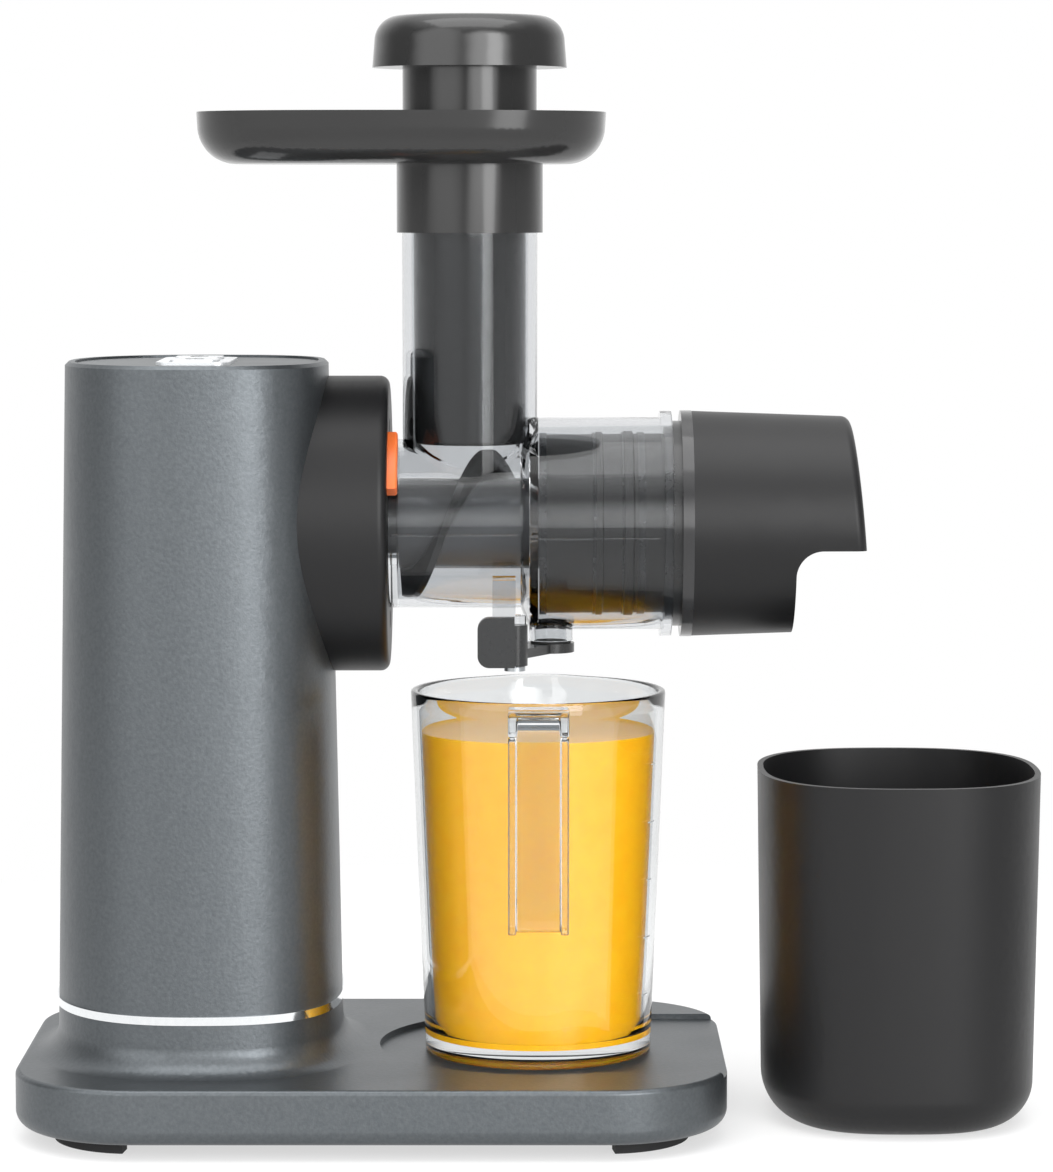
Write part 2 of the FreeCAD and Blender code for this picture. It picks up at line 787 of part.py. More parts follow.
def toothed(module, teeth, face, bore, x, z, tooth_angle):
    """Spur gear about X with stub involute teeth; one tooth centred at tooth_angle from +Y to +Z."""
    teeth = int(float(teeth))
    module = float(module)
    pitch = module * teeth / 2
    tip = pitch + 0.8 * module
    root = pitch - 1.05 * module
    base = pitch * math.cos(math.radians(20))
    start = max(base, root)
    half_pitch = (math.pi / 2 / teeth) - 0.05 / teeth
    rolled = math.tan(math.radians(20)) - math.radians(20)

    def flank(radius):
        lean = math.acos(min(1.0, base / radius))
        return half_pitch + rolled - (math.tan(lean) - lean)

    def at(radius, angle):
        return FreeCAD.Vector(0, radius * math.cos(angle), radius * math.sin(angle))

    edges = []
    step = 2 * math.pi / teeth
    radii = [start + (tip - start) * share for share in (0, 0.33, 0.67, 1)]
    for tooth in range(teeth):
        middle = math.radians(tooth_angle) + tooth * step
        rising = [at(radius, middle - flank(radius)) for radius in radii]
        falling = [at(radius, middle + flank(radius)) for radius in reversed(radii)]
        foot = at(root, middle - flank(start))
        next_foot = at(root, middle + flank(start))
        following = at(root, middle + step - flank(start))
        rise = Part.BSplineCurve()
        rise.interpolate(rising)
        fall = Part.BSplineCurve()
        fall.interpolate(falling)
        if start > root + 1e-6:
            edges.append(Part.LineSegment(foot, rising[0]).toShape())
        edges.append(rise.toShape())
        edges.append(Part.Arc(rising[-1], at(tip, middle), falling[0]).toShape())
        edges.append(fall.toShape())
        if start > root + 1e-6:
            edges.append(Part.LineSegment(falling[-1], next_foot).toShape())
        edges.append(Part.Arc(next_foot, at(root, middle + step / 2), following).toShape())
    outline = Part.Wire(edges)
    solid = Part.Face(outline).extrude(spot(face))
    solid = solid.cut(Part.makeCylinder(float(bore), float(face), spot(), X_AXIS))
    solid.translate(spot(x, 0, z))
    return solid


# Gear train: fine, middle and coarse pairs, stacked downwards from the auger's axis
fine_centre = D.fine_module * (D.pinion_teeth + D.gear_teeth) / 2
middle_centre = D.middle_module * (D.pinion_teeth + D.gear_teeth) / 2
coarse_centre = D.coarse_module * (D.pinion_teeth + D.gear_teeth) / 2
second_z = axis_z - coarse_centre
first_z = second_z - middle_centre
motor_z = first_z - fine_centre
coarse_x = gear_face - D.gear_side_gap - D.coarse_face
middle_x = coarse_x - D.gear_side_gap - D.middle_face
fine_x = middle_x - D.gear_side_gap - D.fine_face
cover_face = fine_x - D.gear_side_gap
motor_face = cover_face - D.gear_cover_thickness
UP = 90.0
DOWN = -90.0


def gap_up(teeth):
    """Angle of the tooth beside a gap that points up."""
    return UP + 180.0 / float(teeth)


def gear_room(grow):
    """Discs that the gears need, each grown by an amount."""
    grow = float(grow)
    return (
        (axis_z, gear_radius(D.coarse_module, D.gear_teeth) + float(D.coarse_module) + grow),
        (second_z, gear_radius(D.middle_module, D.gear_teeth) + float(D.middle_module) + grow),
        (first_z, gear_radius(D.fine_module, D.gear_teeth) + float(D.fine_module) + grow),
        (motor_z, float(D.motor_radius) * 0.6 + grow),
    )


def stacked_discs(low, high, grow):
    solid = None
    for z, radius in gear_room(grow):
        disc = Part.makeCylinder(radius, float(high) - float(low), spot(low, 0, z), X_AXIS)
        solid = disc if solid is None else solid.fuse(disc)
    return solid.removeSplitter()


def make_gear_train():
    fit = D.running_clearance
    wall = D.gear_wall
    outer = stacked_discs(cover_face, housing_face, 0.8 + float(wall))
    room = stacked_discs(cover_face, gear_face, 0.8)
    housing = outer.cut(room)
    bush = D.drive_shaft_radius + D.bush_wall
    length = float(wall) + 1
    housing = housing.cut(Part.makeCylinder(float(bush), length, spot(gear_face - 0.5, 0, axis_z), X_AXIS))
    for z, radius in ((first_z, D.first_pin_radius), (second_z, D.second_pin_radius)):
        housing = housing.cut(Part.makeCylinder(float(radius), float(wall) - 1, spot(gear_face, 0, z), X_AXIS))
    for y, z in boss_places():
        housing = housing.cut(Part.makeCylinder(float(D.collar_screw_radius), float(wall), spot(gear_face, y, z), X_AXIS))
    keep("gearbox_housing", shaped("gearbox_housing", housing))
    cover = stacked_discs(motor_face, cover_face, 0.8 + float(wall))
    thick = float(D.gear_cover_thickness)
    for z, radius in ((first_z, D.first_pin_radius), (second_z, D.second_pin_radius),
                      (axis_z, bush), (motor_z, D.bearing_radius + 0.3)):
        cover = cover.cut(Part.makeCylinder(float(radius), thick, spot(motor_face, 0, z), X_AXIS))
    keep("gearbox_cover", shaped("gearbox_cover", cover))
    pin_length = gear_face + D.gear_wall - 1 - motor_face
    keep("first_gear_pin", rod("first_gear_pin", D.first_pin_radius, pin_length, motor_face, 0, first_z, "X"))
    keep("second_gear_pin", rod("second_gear_pin", D.second_pin_radius, pin_length, motor_face, 0, second_z, "X"))
    pinion = toothed(D.fine_module, D.pinion_teeth, D.fine_face, D.motor_shaft_radius, fine_x, motor_z,
                     gap_up(D.pinion_teeth))
    keep("motor_pinion", shaped("motor_pinion", pinion))
    bore = D.first_pin_radius + fit
    first = toothed(D.fine_module, D.gear_teeth, D.fine_face, bore, fine_x, first_z, DOWN)
    small = toothed(D.middle_module, D.pinion_teeth, D.middle_face + D.gear_side_gap, bore,
                    fine_x + D.fine_face, first_z, gap_up(D.pinion_teeth))
    keep("first_gear", shaped("first_gear", first.fuse(small)))
    bore = D.second_pin_radius + fit
    second = toothed(D.middle_module, D.gear_teeth, D.middle_face, bore, middle_x, second_z, DOWN)
    small = toothed(D.coarse_module, D.pinion_teeth, D.coarse_face + D.gear_side_gap, bore,
                    middle_x + D.middle_face, second_z, gap_up(D.pinion_teeth))
    keep("second_gear", shaped("second_gear", second.fuse(small)))
    output = toothed(D.coarse_module, D.gear_teeth, D.coarse_face, D.drive_shaft_radius, coarse_x, axis_z, DOWN)
    keep("output_gear", shaped("output_gear", output))
    shaft_start = motor_face
    shaft = rod("drive_shaft_round", D.drive_shaft_radius, collar_face - D.socket_depth + 2 - shaft_start,
                shaft_start, 0, axis_z, "X")
    tip = doc.addObject("Part::Prism", "drive_shaft_tip")
    tip.Polygon = 6
    bind(tip, Circumradius=D.drive_hex_flats / 2 / math.cos(math.radians(30)), Height=26.0)
    place(tip, collar_face - D.socket_depth + 1, 0, axis_z, FreeCAD.Rotation(Y_AXIS, 90))
    keep("drive_shaft", fuse("drive_shaft", shaft, tip))
    for name, start, length in (("rear_shaft_bush", motor_face, D.gear_cover_thickness),
                                ("front_shaft_bush", gear_face, D.gear_wall)):
        outline = [(0, D.drive_shaft_radius + fit), (length, D.drive_shaft_radius + fit), (length, bush), (0, bush)]
        keep(name, turned(name, "X", outline, start, 0, axis_z))


def make_motor():
    fit = D.running_clearance
    start = motor_face - D.motor_length
    wall = D.motor_can_wall
    radius = D.motor_radius
    bearing = D.bearing_radius
    end = motor_face
    can = [(start, radius - wall), (start, radius), (end, radius), (end, bearing), (end - wall, bearing),
           (end - wall, radius - wall)]
    keep("motor_can", turned("motor_can", "X", can, 0, 0, motor_z))
    bell = [(start - 2.5, bearing), (start - 2.5, radius - 2), (start, radius), (start, radius - wall),
            (start + 2, radius - wall), (start + 2, bearing)]
    keep("motor_end_bell", turned("motor_end_bell", "X", bell, 0, 0, motor_z))
    shaft_radius = D.motor_shaft_radius
    for name, low in (("front_motor_bearing", end - D.bearing_length + D.gear_cover_thickness),
                      ("rear_motor_bearing", start - 2)):
        ring = [(low, shaft_radius + fit), (low + D.bearing_length, shaft_radius + fit),
                (low + D.bearing_length, bearing), (low, bearing)]
        keep(name, turned(name, "X", ring, 0, 0, motor_z))
    shaft_start = start - 2.2
    shaft = rod("motor_shaft", shaft_radius, fine_x + D.fine_face + 0.4 - shaft_start, shaft_start, 0, motor_z, "X")
    keep("motor_shaft", shaft)
    core_end = end - wall - 6
    core_start = core_end - D.rotor_length
    core = [(core_start, shaft_radius), (core_start, D.rotor_radius), (core_end, D.rotor_radius), (core_end, shaft_radius)]
    keep("rotor_core", turned("rotor_core", "X", core, 0, 0, motor_z))
    comm_end = core_start - 1.5
    comm_start = comm_end - D.commutator_length
    comm = [(comm_start, shaft_radius), (comm_start, D.commutator_radius), (comm_end, D.commutator_radius),
            (comm_end, shaft_radius)]
    keep("commutator", turned("commutator", "X", comm, 0, 0, motor_z))
    magnets = []
    outer = float(radius - wall)
    inner = float(radius - wall - D.magnet_thickness)
    length = float(D.rotor_length)
    sweep = float(D.magnet_sweep)
    for middle in (0, 180):
        whole = Part.makeCylinder(outer, length, spot(core_start, 0, motor_z), X_AXIS, sweep)
        bore = Part.makeCylinder(inner, length, spot(core_start, 0, motor_z), X_AXIS, sweep)
        arc = whole.cut(bore)
        arc.rotate(spot(core_start, 0, motor_z), X_AXIS, middle)
        magnets.append(arc)
    keep("motor_magnets", shaped("motor_magnets", Part.makeCompound(magnets)))


def boss_places():
    """Screw places round the auger's axis: front, top, rear, bottom."""
    places = []
    for angle in (0, 90, 180, 270):
        y = D.collar_boss_circle * round(math.cos(math.radians(angle)))
        z = axis_z + D.collar_boss_circle * round(math.sin(math.radians(angle)))
        places.append((y, z))
    return places


def release_sector(inner, outer, extra_angle, low_x, high_x):
    """Ring sector about the auger's axis, on the front upper side."""
    sweep = float(D.release_sweep) + 2 * extra_angle
    span = float(high_x) - float(low_x)
    whole = Part.makeCylinder(float(outer), span, spot(), Z_AXIS, sweep)
    whole = whole.cut(Part.makeCylinder(float(inner), span, spot(), Z_AXIS, sweep))
    # laid down along X, the sweep starts at -Z; angles here run from +Y to +Z
    whole.rotate(spot(), Y_AXIS, 90)
    start = 180.0 - float(D.release_low_angle) - float(D.release_sweep) - extra_angle
    whole.rotate(spot(), X_AXIS, start + 90.0)
    whole.translate(spot(low_x, 0, axis_z))
    return whole


def make_collar():
    """Black oval collar between tower and chamber, screwed to the gearbox."""
    face = collar_face
    inner_face = face - D.collar_front_wall
    outer = turned_oval(oval(0, D.collar_half_depth, D.collar_half_height), housing_face, face - housing_face)
    face_x = float(face)
    edge = edges_where(outer, lambda middle, item: abs(middle.x - face_x) < 0.01)
    outer = outer.makeFillet(float(D.collar_round), edge)
    wall = D.collar_wall
    hollow = turned_oval(
        oval(0, D.collar_half_depth - wall, D.collar_half_height - wall), housing_face, inner_face - housing_face
    )
    solid = outer.cut(hollow)
    for y, z in boss_places():
        boss = Part.makeCylinder(float(D.collar_boss_radius), float(inner_face - housing_face) + 1,
                                 spot(housing_face, y, z), X_AXIS)
        bore = Part.makeCylinder(float(D.collar_screw_radius), float(face - housing_face), spot(housing_face, y, z), X_AXIS)
        sink = Part.makeCylinder(float(D.collar_screw_head_radius) + 0.2, float(D.collar_front_wall),
                                 spot(inner_face + 4, y, z), X_AXIS)
        solid = solid.fuse(boss).cut(bore).cut(sink)
    socket = Part.makeCylinder(float(D.socket_radius), float(D.socket_depth) + 1, spot(face - D.socket_depth, 0, axis_z), X_AXIS)
    hub = Part.makeCylinder(float(D.hub_bore) - 1.0, float(D.collar_front_wall) + 1, spot(inner_face - 0.5, 0, axis_z), X_AXIS)
    pocket = release_sector(D.release_inner_radius - 0.3, D.release_outer_radius + 0.3, 0.6,
                            inner_face + 1.5, face + 1)
    solid = solid.cut(socket).cut(hub).cut(pocket)
    keep("adapter_collar", shaped("adapter_collar", solid))
    screws = []
    for y, z in boss_places():
        shank = Part.makeCylinder(float(D.collar_screw_radius), float(inner_face + 4 - gear_face), spot(gear_face, y, z), X_AXIS)
        head = Part.makeCylinder(float(D.collar_screw_head_radius), 2.2, spot(inner_face + 4, y, z), X_AXIS)
        screws.append(shank.fuse(head))
    keep("adapter_screws", shaped("adapter_screws", Part.makeCompound(screws)))
    seal = [(0, D.drive_shaft_radius + D.running_clearance), (4, D.drive_shaft_radius + D.running_clearance),
            (4, D.hub_bore - 1), (0, D.hub_bore - 1)]
    keep("shaft_seal", turned("shaft_seal", "X", seal, inner_face, 0, axis_z))
    button_end = face + D.release_proud
    button = release_sector(D.release_inner_radius, D.release_outer_radius, 0.0, button_end - D.release_body - D.release_proud, button_end)
    end_x = float(button_end)
    rim = edges_where(button, lambda middle, item: abs(middle.x - end_x) < 0.01)
    button = button.makeFillet(0.9, rim)
    keep("release_button", shaped("release_button", button))
    switch_z = axis_z + D.collar_boss_circle + D.collar_boss_radius + 0.4
    keep("interlock_switch", brick("interlock_switch", 10.0, 16.0, 6.0, inner_face - 10, -8, switch_z))


def make_chamber():
    """Clear stepped barrel with chute, juice outlet and the drip lever's pin."""
    face = collar_face
    wall = D.barrel_wall
    barrel_end = face + D.barrel_length
    bore = D.barrel_radius - wall
    rear = face + D.rear_wall
    spigot = D.socket_radius - D.piece_clearance
    outline = [
        (face - D.spigot_length, spigot), (face, spigot), (face, D.barrel_radius), (barrel_end, D.barrel_radius),
        (drum_start, D.drum_radius), (drum_end, D.drum_radius), (drum_end, D.rim_radius), (chamber_end, D.rim_radius),
        (chamber_end, D.drum_radius - D.drum_wall), (drum_start + D.step_length, D.drum_radius - D.drum_wall),
        (drum_start, bore), (rear, bore), (rear, D.hub_bore), (face, D.hub_bore),
        (face, spigot - D.spigot_wall), (face - D.spigot_length, spigot - D.spigot_wall),
    ]
    barrel = turned("chamber_barrel", "X", outline, 0, 0, axis_z)
    chute = rod("chamber_chute", D.chute_radius, D.chute_top - axis_z, chute_x, 0, axis_z)
    outlet_x = face + D.outlet_inset
    outlet_end = axis_z - D.drum_radius - D.outlet_length
    outlet = rod("chamber_outlet", D.outlet_radius, D.outlet_length + 12, outlet_x, -D.outlet_offset, outlet_end)
    pin_x = face + D.lever_inset
    lever_bottom = axis_z - D.lever_drop
    lever_top = lever_bottom + D.lever_height
    post = brick("chamber_post", 7.8, 7.8, 16.2, pin_x - 7.5, -D.lever_offset - 3.9, lever_top)
    bridge = brick("chamber_post_foot", 7.5, 7.8, 3.0, pin_x - 7.5, -D.lever_offset - 3.9, lever_top)
    collar = rod("chamber_post_collar", 3.9, 3.0, pin_x, -D.lever_offset, lever_top)
    pin = rod("chamber_lever_pin", D.lever_pin_radius, D.lever_height, pin_x, -D.lever_offset, lever_bottom)
    solid = fuse("chamber_solid", barrel, chute, outlet, post, bridge, collar, pin)
    inside = rod("chamber_inside", bore, D.barrel_length - D.rear_wall + 2 * D.step_length, rear, 0, axis_z, "X")
    drum_room = rod("chamber_drum_room", D.drum_radius - D.drum_wall, chamber_end - drum_start - D.step_length,
                    drum_start + D.step_length, 0, axis_z, "X")
    chute_room = rod("chamber_chute_room", D.chute_bore, D.chute_top - axis_z + 1, chute_x, 0, axis_z)
    outlet_room = rod("chamber_outlet_room", D.outlet_bore, D.outlet_length + 16, outlet_x, -D.outlet_offset, outlet_end - 1)
    keep("juicing_chamber", cut("juicing_chamber", solid, inside, drum_room, chute_room, outlet_room))
    neck = [(chamber_end, D.neck_radius), (neck_end, D.neck_radius), (neck_end, D.filter_radius), (chamber_end, D.filter_radius)]
    keep("filter_neck_ring", turned("filter_neck_ring", "X", neck, 0, 0, axis_z))


def make_lever():
    """Drip stop: sleeve on the pin, thumb lobe to the left, arm under the outlet."""
    face = collar_face
    pin_x = float(face + D.lever_inset)
    pin_y = -float(D.lever_offset)
    bottom = axis_z - D.lever_drop
    sleeve = Part.makeCylinder(float(D.lever_sleeve_radius), float(D.lever_height) - 0.2, spot(pin_x, pin_y, bottom))
    outlet_x = float(face + D.outlet_inset)
    outlet_y = -float(D.outlet_offset)
    outlet_end = axis_z - D.drum_radius - D.outlet_length
    arm_top = outlet_end - 0.8
    thick = 3.2
    pad = Part.makeCylinder(float(D.outlet_radius) + 0.6, thick, spot(outlet_x, outlet_y, arm_top - thick))
    reach = math.hypot(outlet_x - pin_x, outlet_y - pin_y)
    aim = math.degrees(math.atan2(outlet_y - pin_y, outlet_x - pin_x))
    arm = Part.makeBox(reach, 8.0, thick, spot(0, -4, 0))
    arm.rotate(spot(), Z_AXIS, aim)
    arm.translate(spot(pin_x, pin_y, arm_top - thick))
    front = pin_y - float(D.lever_sleeve_radius)
    lobe = Part.makeBox(12.5, 4.6, 17.0, spot(pin_x - 12.5, front - 4.6, bottom))
    left = edges_where(lobe, lambda middle, edge: middle.x < pin_x - 12 and abs(edge.tangentAt(edge.FirstParameter).y) > 0.9)
    lobe = lobe.makeFillet(4.0, left)
    web = Part.makeBox(4.0, 8.0, float(D.lever_height) - 0.2, spot(pin_x - 4.0, front - 4.0, bottom))
    lobe = lobe.fuse(web)
    bore = Part.makeCylinder(float(D.lever_pin_radius) + 0.08, 20.0, spot(pin_x, pin_y, bottom - 1))
    solid = sleeve.fuse(pad).fuse(arm).fuse(lobe).cut(bore)
    keep("drip_lever", shaped("drip_lever", solid.removeSplitter()))
    keep("drip_seal", rod("drip_seal", D.outlet_radius - 0.6, 0.6, outlet_x, outlet_y, arm_top))
    screw = Part.makeCylinder(3.6, 1.4, spot(pin_x, pin_y, bottom - 1.8))
    keep("lever_screw", shaped("lever_screw", screw.fuse(Part.makeCylinder(1.2, 0.5, spot(pin_x, pin_y, bottom - 0.5)))))


def make_filter():
    start = float(drum_start) + float(D.step_length) + 0.4
    end = float(chamber_end)
    inner = float(D.filter_radius - D.filter_wall)
    outer = float(D.filter_radius)
    solid = Part.makeCylinder(outer, end - start, spot(start, 0, axis_z), X_AXIS)
    ring_radius = float(D.filter_ring_radius)
    for share in (0.0, 0.40, 0.62, 0.74):
        ring_x = start + share * (end - start)
        solid = solid.fuse(Part.makeCylinder(ring_radius, 2.4, spot(ring_x, 0, axis_z), X_AXIS))
    flange = Part.makeCylinder(float(D.drum_radius - D.drum_wall) - 0.3, 2.6, spot(end - 2.6, 0, axis_z), X_AXIS)
    solid = solid.fuse(flange)
    solid = solid.cut(Part.makeCylinder(inner, end - start, spot(start, 0, axis_z), X_AXIS))
    for spoke in range(3):
        bar = Part.makeBox(3.0, 3.6, inner - 3, spot(end - 4.5, -1.8, 4.0))
        bar.rotate(spot(), X_AXIS, 120 * spoke)
        bar.translate(spot(0, 0, axis_z))
        solid = solid.fuse(bar)
    hub = Part.makeCylinder(float(D.filter_tip_radius), 4.5, spot(end - 4.5, 0, axis_z), X_AXIS)
    tip = Part.makeCylinder(float(D.tip_pin_radius + D.bush_wall / 2), 4.5, spot(end - 4.5, 0, axis_z), X_AXIS)
    solid = solid.fuse(hub).cut(tip)
    slot_count = 16
    for slot in range(slot_count):
        window = Part.makeBox((end - start) * 0.30, 2.4, 12.0, spot(start + 3.5, -1.2, inner - 3))
        window.rotate(spot(), X_AXIS, 360.0 * slot / slot_count)
        window.translate(spot(0, 0, axis_z))
        solid = solid.cut(window)
    keep("juice_filter", shaped("juice_filter", solid))
    bush = [(0, D.tip_pin_radius + D.running_clearance), (4.5, D.tip_pin_radius + D.running_clearance),
            (4.5, D.tip_pin_radius + D.bush_wall / 2), (0, D.tip_pin_radius + D.bush_wall / 2)]
    keep("auger_tip_bush", turned("auger_tip_bush", "X", bush, chamber_end - 4.5, 0, axis_z))


def flight(pitch, start, length, inner, outer, thickness):
    """Left-handed screw blade about X."""
    helix = Part.makeLongHelix(float(pitch), float(length), float(inner), 0, True)
    half = float(thickness) / 2
    profile = Part.makePolygon([
        spot(float(inner), 0, -half), spot(float(outer), 0, -half * 0.6), spot(float(outer), 0, half * 0.6),
        spot(float(inner), 0, half), spot(float(inner), 0, -half),
    ])
    blade = Part.Wire(helix).makePipeShell([profile], True, True)
    blade.rotate(spot(), Y_AXIS, 90)
    blade.translate(spot(start, 0, axis_z))
    return blade


def make_auger():
    face = collar_face
    core_start = face + D.rear_wall + D.piece_clearance
    core_end = chamber_end - 5
    hub = D.hub_bore - 0.5
    outline = [
        (face - 3, 0), (face - 3, hub), (core_start, hub), (core_start, D.auger_core_radius),
        (drum_start + 3, D.auger_core_radius), (core_end, D.auger_press_radius), (core_end, D.tip_pin_radius),
        (chamber_end - 0.4, D.tip_pin_radius), (chamber_end - 0.4, 0),
    ]
    core = turned("auger_core", "X", outline, 0, 0, axis_z)
    half = float(D.flight_thickness) / 2
    feed_length = float(drum_start) - 1 - float(core_start) - 2 * half
    feed = flight(D.flight_pitch, float(core_start) + half, feed_length, float(D.auger_core_radius) - 2,
                  D.flight_radius, D.flight_thickness)
    half = float(D.press_flight_thickness) / 2
    press_start = float(drum_start) + float(D.step_length) + 2 + half
    press = flight(D.press_flight_pitch, press_start, float(core_end) - press_start - half,
                   float(D.auger_core_radius) - 2, D.press_flight_radius, D.press_flight_thickness)
    blades = shaped("auger_blades", Part.makeCompound([feed, press]))
    solid = fuse("auger_solid", core, blades)
    socket = doc.addObject("Part::Prism", "auger_socket")
    socket.Polygon = 6
    flats = D.drive_hex_flats + 2 * D.running_clearance
    bind(socket, Circumradius=flats / 2 / math.cos(math.radians(30)), Height=28.0)
    place(socket, face - D.socket_depth + 1, 0, axis_z, FreeCAD.Rotation(Y_AXIS, 90))
    keep("auger", cut("auger", solid, socket))


def make_end_cap():
    """Black cap with a hood that drops the pulp on the right."""
    lock = [(neck_end, D.filter_radius + 2), (neck_end, D.lock_ring_radius), (cap_start, D.lock_ring_radius),
            (cap_start, D.filter_radius + 2)]
    keep("lock_ring", turned("lock_ring", "X", lock, 0, 0, axis_z))
    start = float(cap_start)
    upper = start + float(D.cap_upper_length)
    lower = start + float(D.cap_lower_length)
    radius = float(D.cap_radius)
    end_radius = radius - float(D.cap_draft)
    centre = float(axis_z)
    wall = float(D.cap_wall)
    body = Part.makeCone(radius, end_radius, upper - start, spot(start, 0, centre), X_AXIS)
    slope = math.degrees(math.atan2(float(D.cap_end_slope), radius))
    trim = Part.makeBox(60, 120, 160, spot(upper, -60, -80))
    trim.rotate(spot(upper, 0, 0), Y_AXIS, -slope)
    trim.translate(spot(0, 0, centre - float(D.cap_step_drop)))
    body = body.cut(trim)
    step_z = centre - float(D.cap_step_drop)
    below = Part.makeBox(80, 120, 80, spot(lower, -60, step_z - 80))
    corner = edges_where(below, lambda middle, edge: abs(middle.x - lower) < 0.01 and abs(middle.z - step_z) < 0.01)
    below = below.makeFillet(float(D.cap_step_round), corner)
    body = body.cut(below)
    rims = edges_where(body, lambda middle, edge: middle.x > upper - 14 and middle.z > step_z + 1)
    body = body.makeFillet(float(D.cap_edge_round), rims)
    room = Part.makeCone(radius - wall, end_radius - wall, upper - start - 2 * wall - 1.0, spot(start, 0, centre), X_AXIS)
    room_below = Part.makeBox(80, 120, 80, spot(lower - wall, -60, step_z - 80 + wall))
    keep_wall = edges_where(
        room_below, lambda middle, edge: abs(middle.x - lower + wall) < 0.01 and abs(middle.z - step_z - wall) < 0.01
    )
    room_below = room_below.makeFillet(float(D.cap_step_round) + wall, keep_wall)
    room = room.cut(room_below)
    body = body.cut(room)
    mouth_start = lower + float(D.cap_step_round) - 5
    mouth_end = upper - 2 * wall - 3
    half = math.sqrt((end_radius - wall) ** 2 - float(D.cap_step_drop) ** 2) - 5
    mouth = Part.makeBox(mouth_end - mouth_start, 2 * half, wall + 4, spot(mouth_start, -half, step_z - 2))
    uprights = edges_where(mouth, lambda middle, edge: abs(edge.tangentAt(edge.FirstParameter).z) > 0.9)
    mouth = mouth.makeFillet(5.0, uprights)
    body = body.cut(mouth)
    keep("end_cap", shaped("end_cap", body))


def make_tray_and_pusher():
    centre = chute_x - D.tray_left_of_chute
    low = D.tray_bottom
    high = low + D.tray_height
    wall = float(D.tray_wall)

    def tub(inset, z_low, z_high, radius):
        half_x = float(D.tray_half_length) - inset
        half_y = float(D.tray_half_depth) - inset
        power = D.tray_power
        block = lofted([
            oval(centre, half_x - 1, half_y - 1, power, power, z_low),
            oval(centre, half_x, half_y, power, power, z_high),
        ])
        z_low = float(z_low)
        bottom = edges_where(block, lambda middle, edge: abs(middle.z - z_low) < 0.01)
        return block.makeFillet(radius, bottom)

    tray = tub(0.0, low, high, float(D.tray_round))
    tray = tray.cut(tub(wall, low + wall, high + 1, float(D.tray_round) - wall))
    neck_bottom = float(low) - float(D.tray_neck_length)
    ledge_top = float(D.chute_top) + float(D.tray_ledge)
    neck = Part.makeCylinder(float(D.tray_neck_radius), float(low) + wall - neck_bottom, spot(chute_x, 0, neck_bottom))
    tray = tray.fuse(neck)
    socket = Part.makeCylinder(
        float(D.chute_radius + D.piece_clearance), float(D.chute_top) - neck_bottom, spot(chute_x, 0, neck_bottom)
    )
    tray = tray.cut(socket)
    tray = tray.cut(Part.makeCylinder(float(D.chute_bore), 40, spot(chute_x, 0, neck_bottom)))
    tray = tray.cut(Part.makeCylinder(float(D.pusher_upper_radius) + 0.3, 30, spot(chute_x, 0, ledge_top)))
    keep("feed_tray", shaped("feed_tray", tray))
    wall = D.pusher_wall
    top = D.pusher_upper_top
    ledge = D.chute_top + D.tray_ledge
    stem = [
        (0, D.pusher_bottom), (D.pusher_radius, D.pusher_bottom, 1.5), (D.pusher_radius, ledge),
        (D.pusher_upper_radius, ledge), (D.pusher_upper_radius, top), (D.pusher_upper_radius - wall, top),
        (D.pusher_upper_radius - wall, ledge + wall), (D.pusher_radius - wall, ledge + wall),
        (D.pusher_radius - wall, D.pusher_bottom + wall), (0, D.pusher_bottom + wall),
    ]
    keep("pusher_stem", turned("pusher_stem", "Z", stem, chute_x))
    cap_top = top + D.pusher_cap_height
    rim = D.pusher_cap_radius
    plug = D.pusher_upper_radius - wall - 0.1
    cap = [
        (0, cap_top), (0, cap_top - wall), (plug - wall, cap_top - wall, 1.0), (plug - wall, top - 5),
        (plug, top - 5), (plug, top), (rim, top), (rim - 1.4, cap_top, D.pusher_cap_round),
    ]
    keep("pusher_cap", turned("pusher_cap", "Z", cap, chute_x))


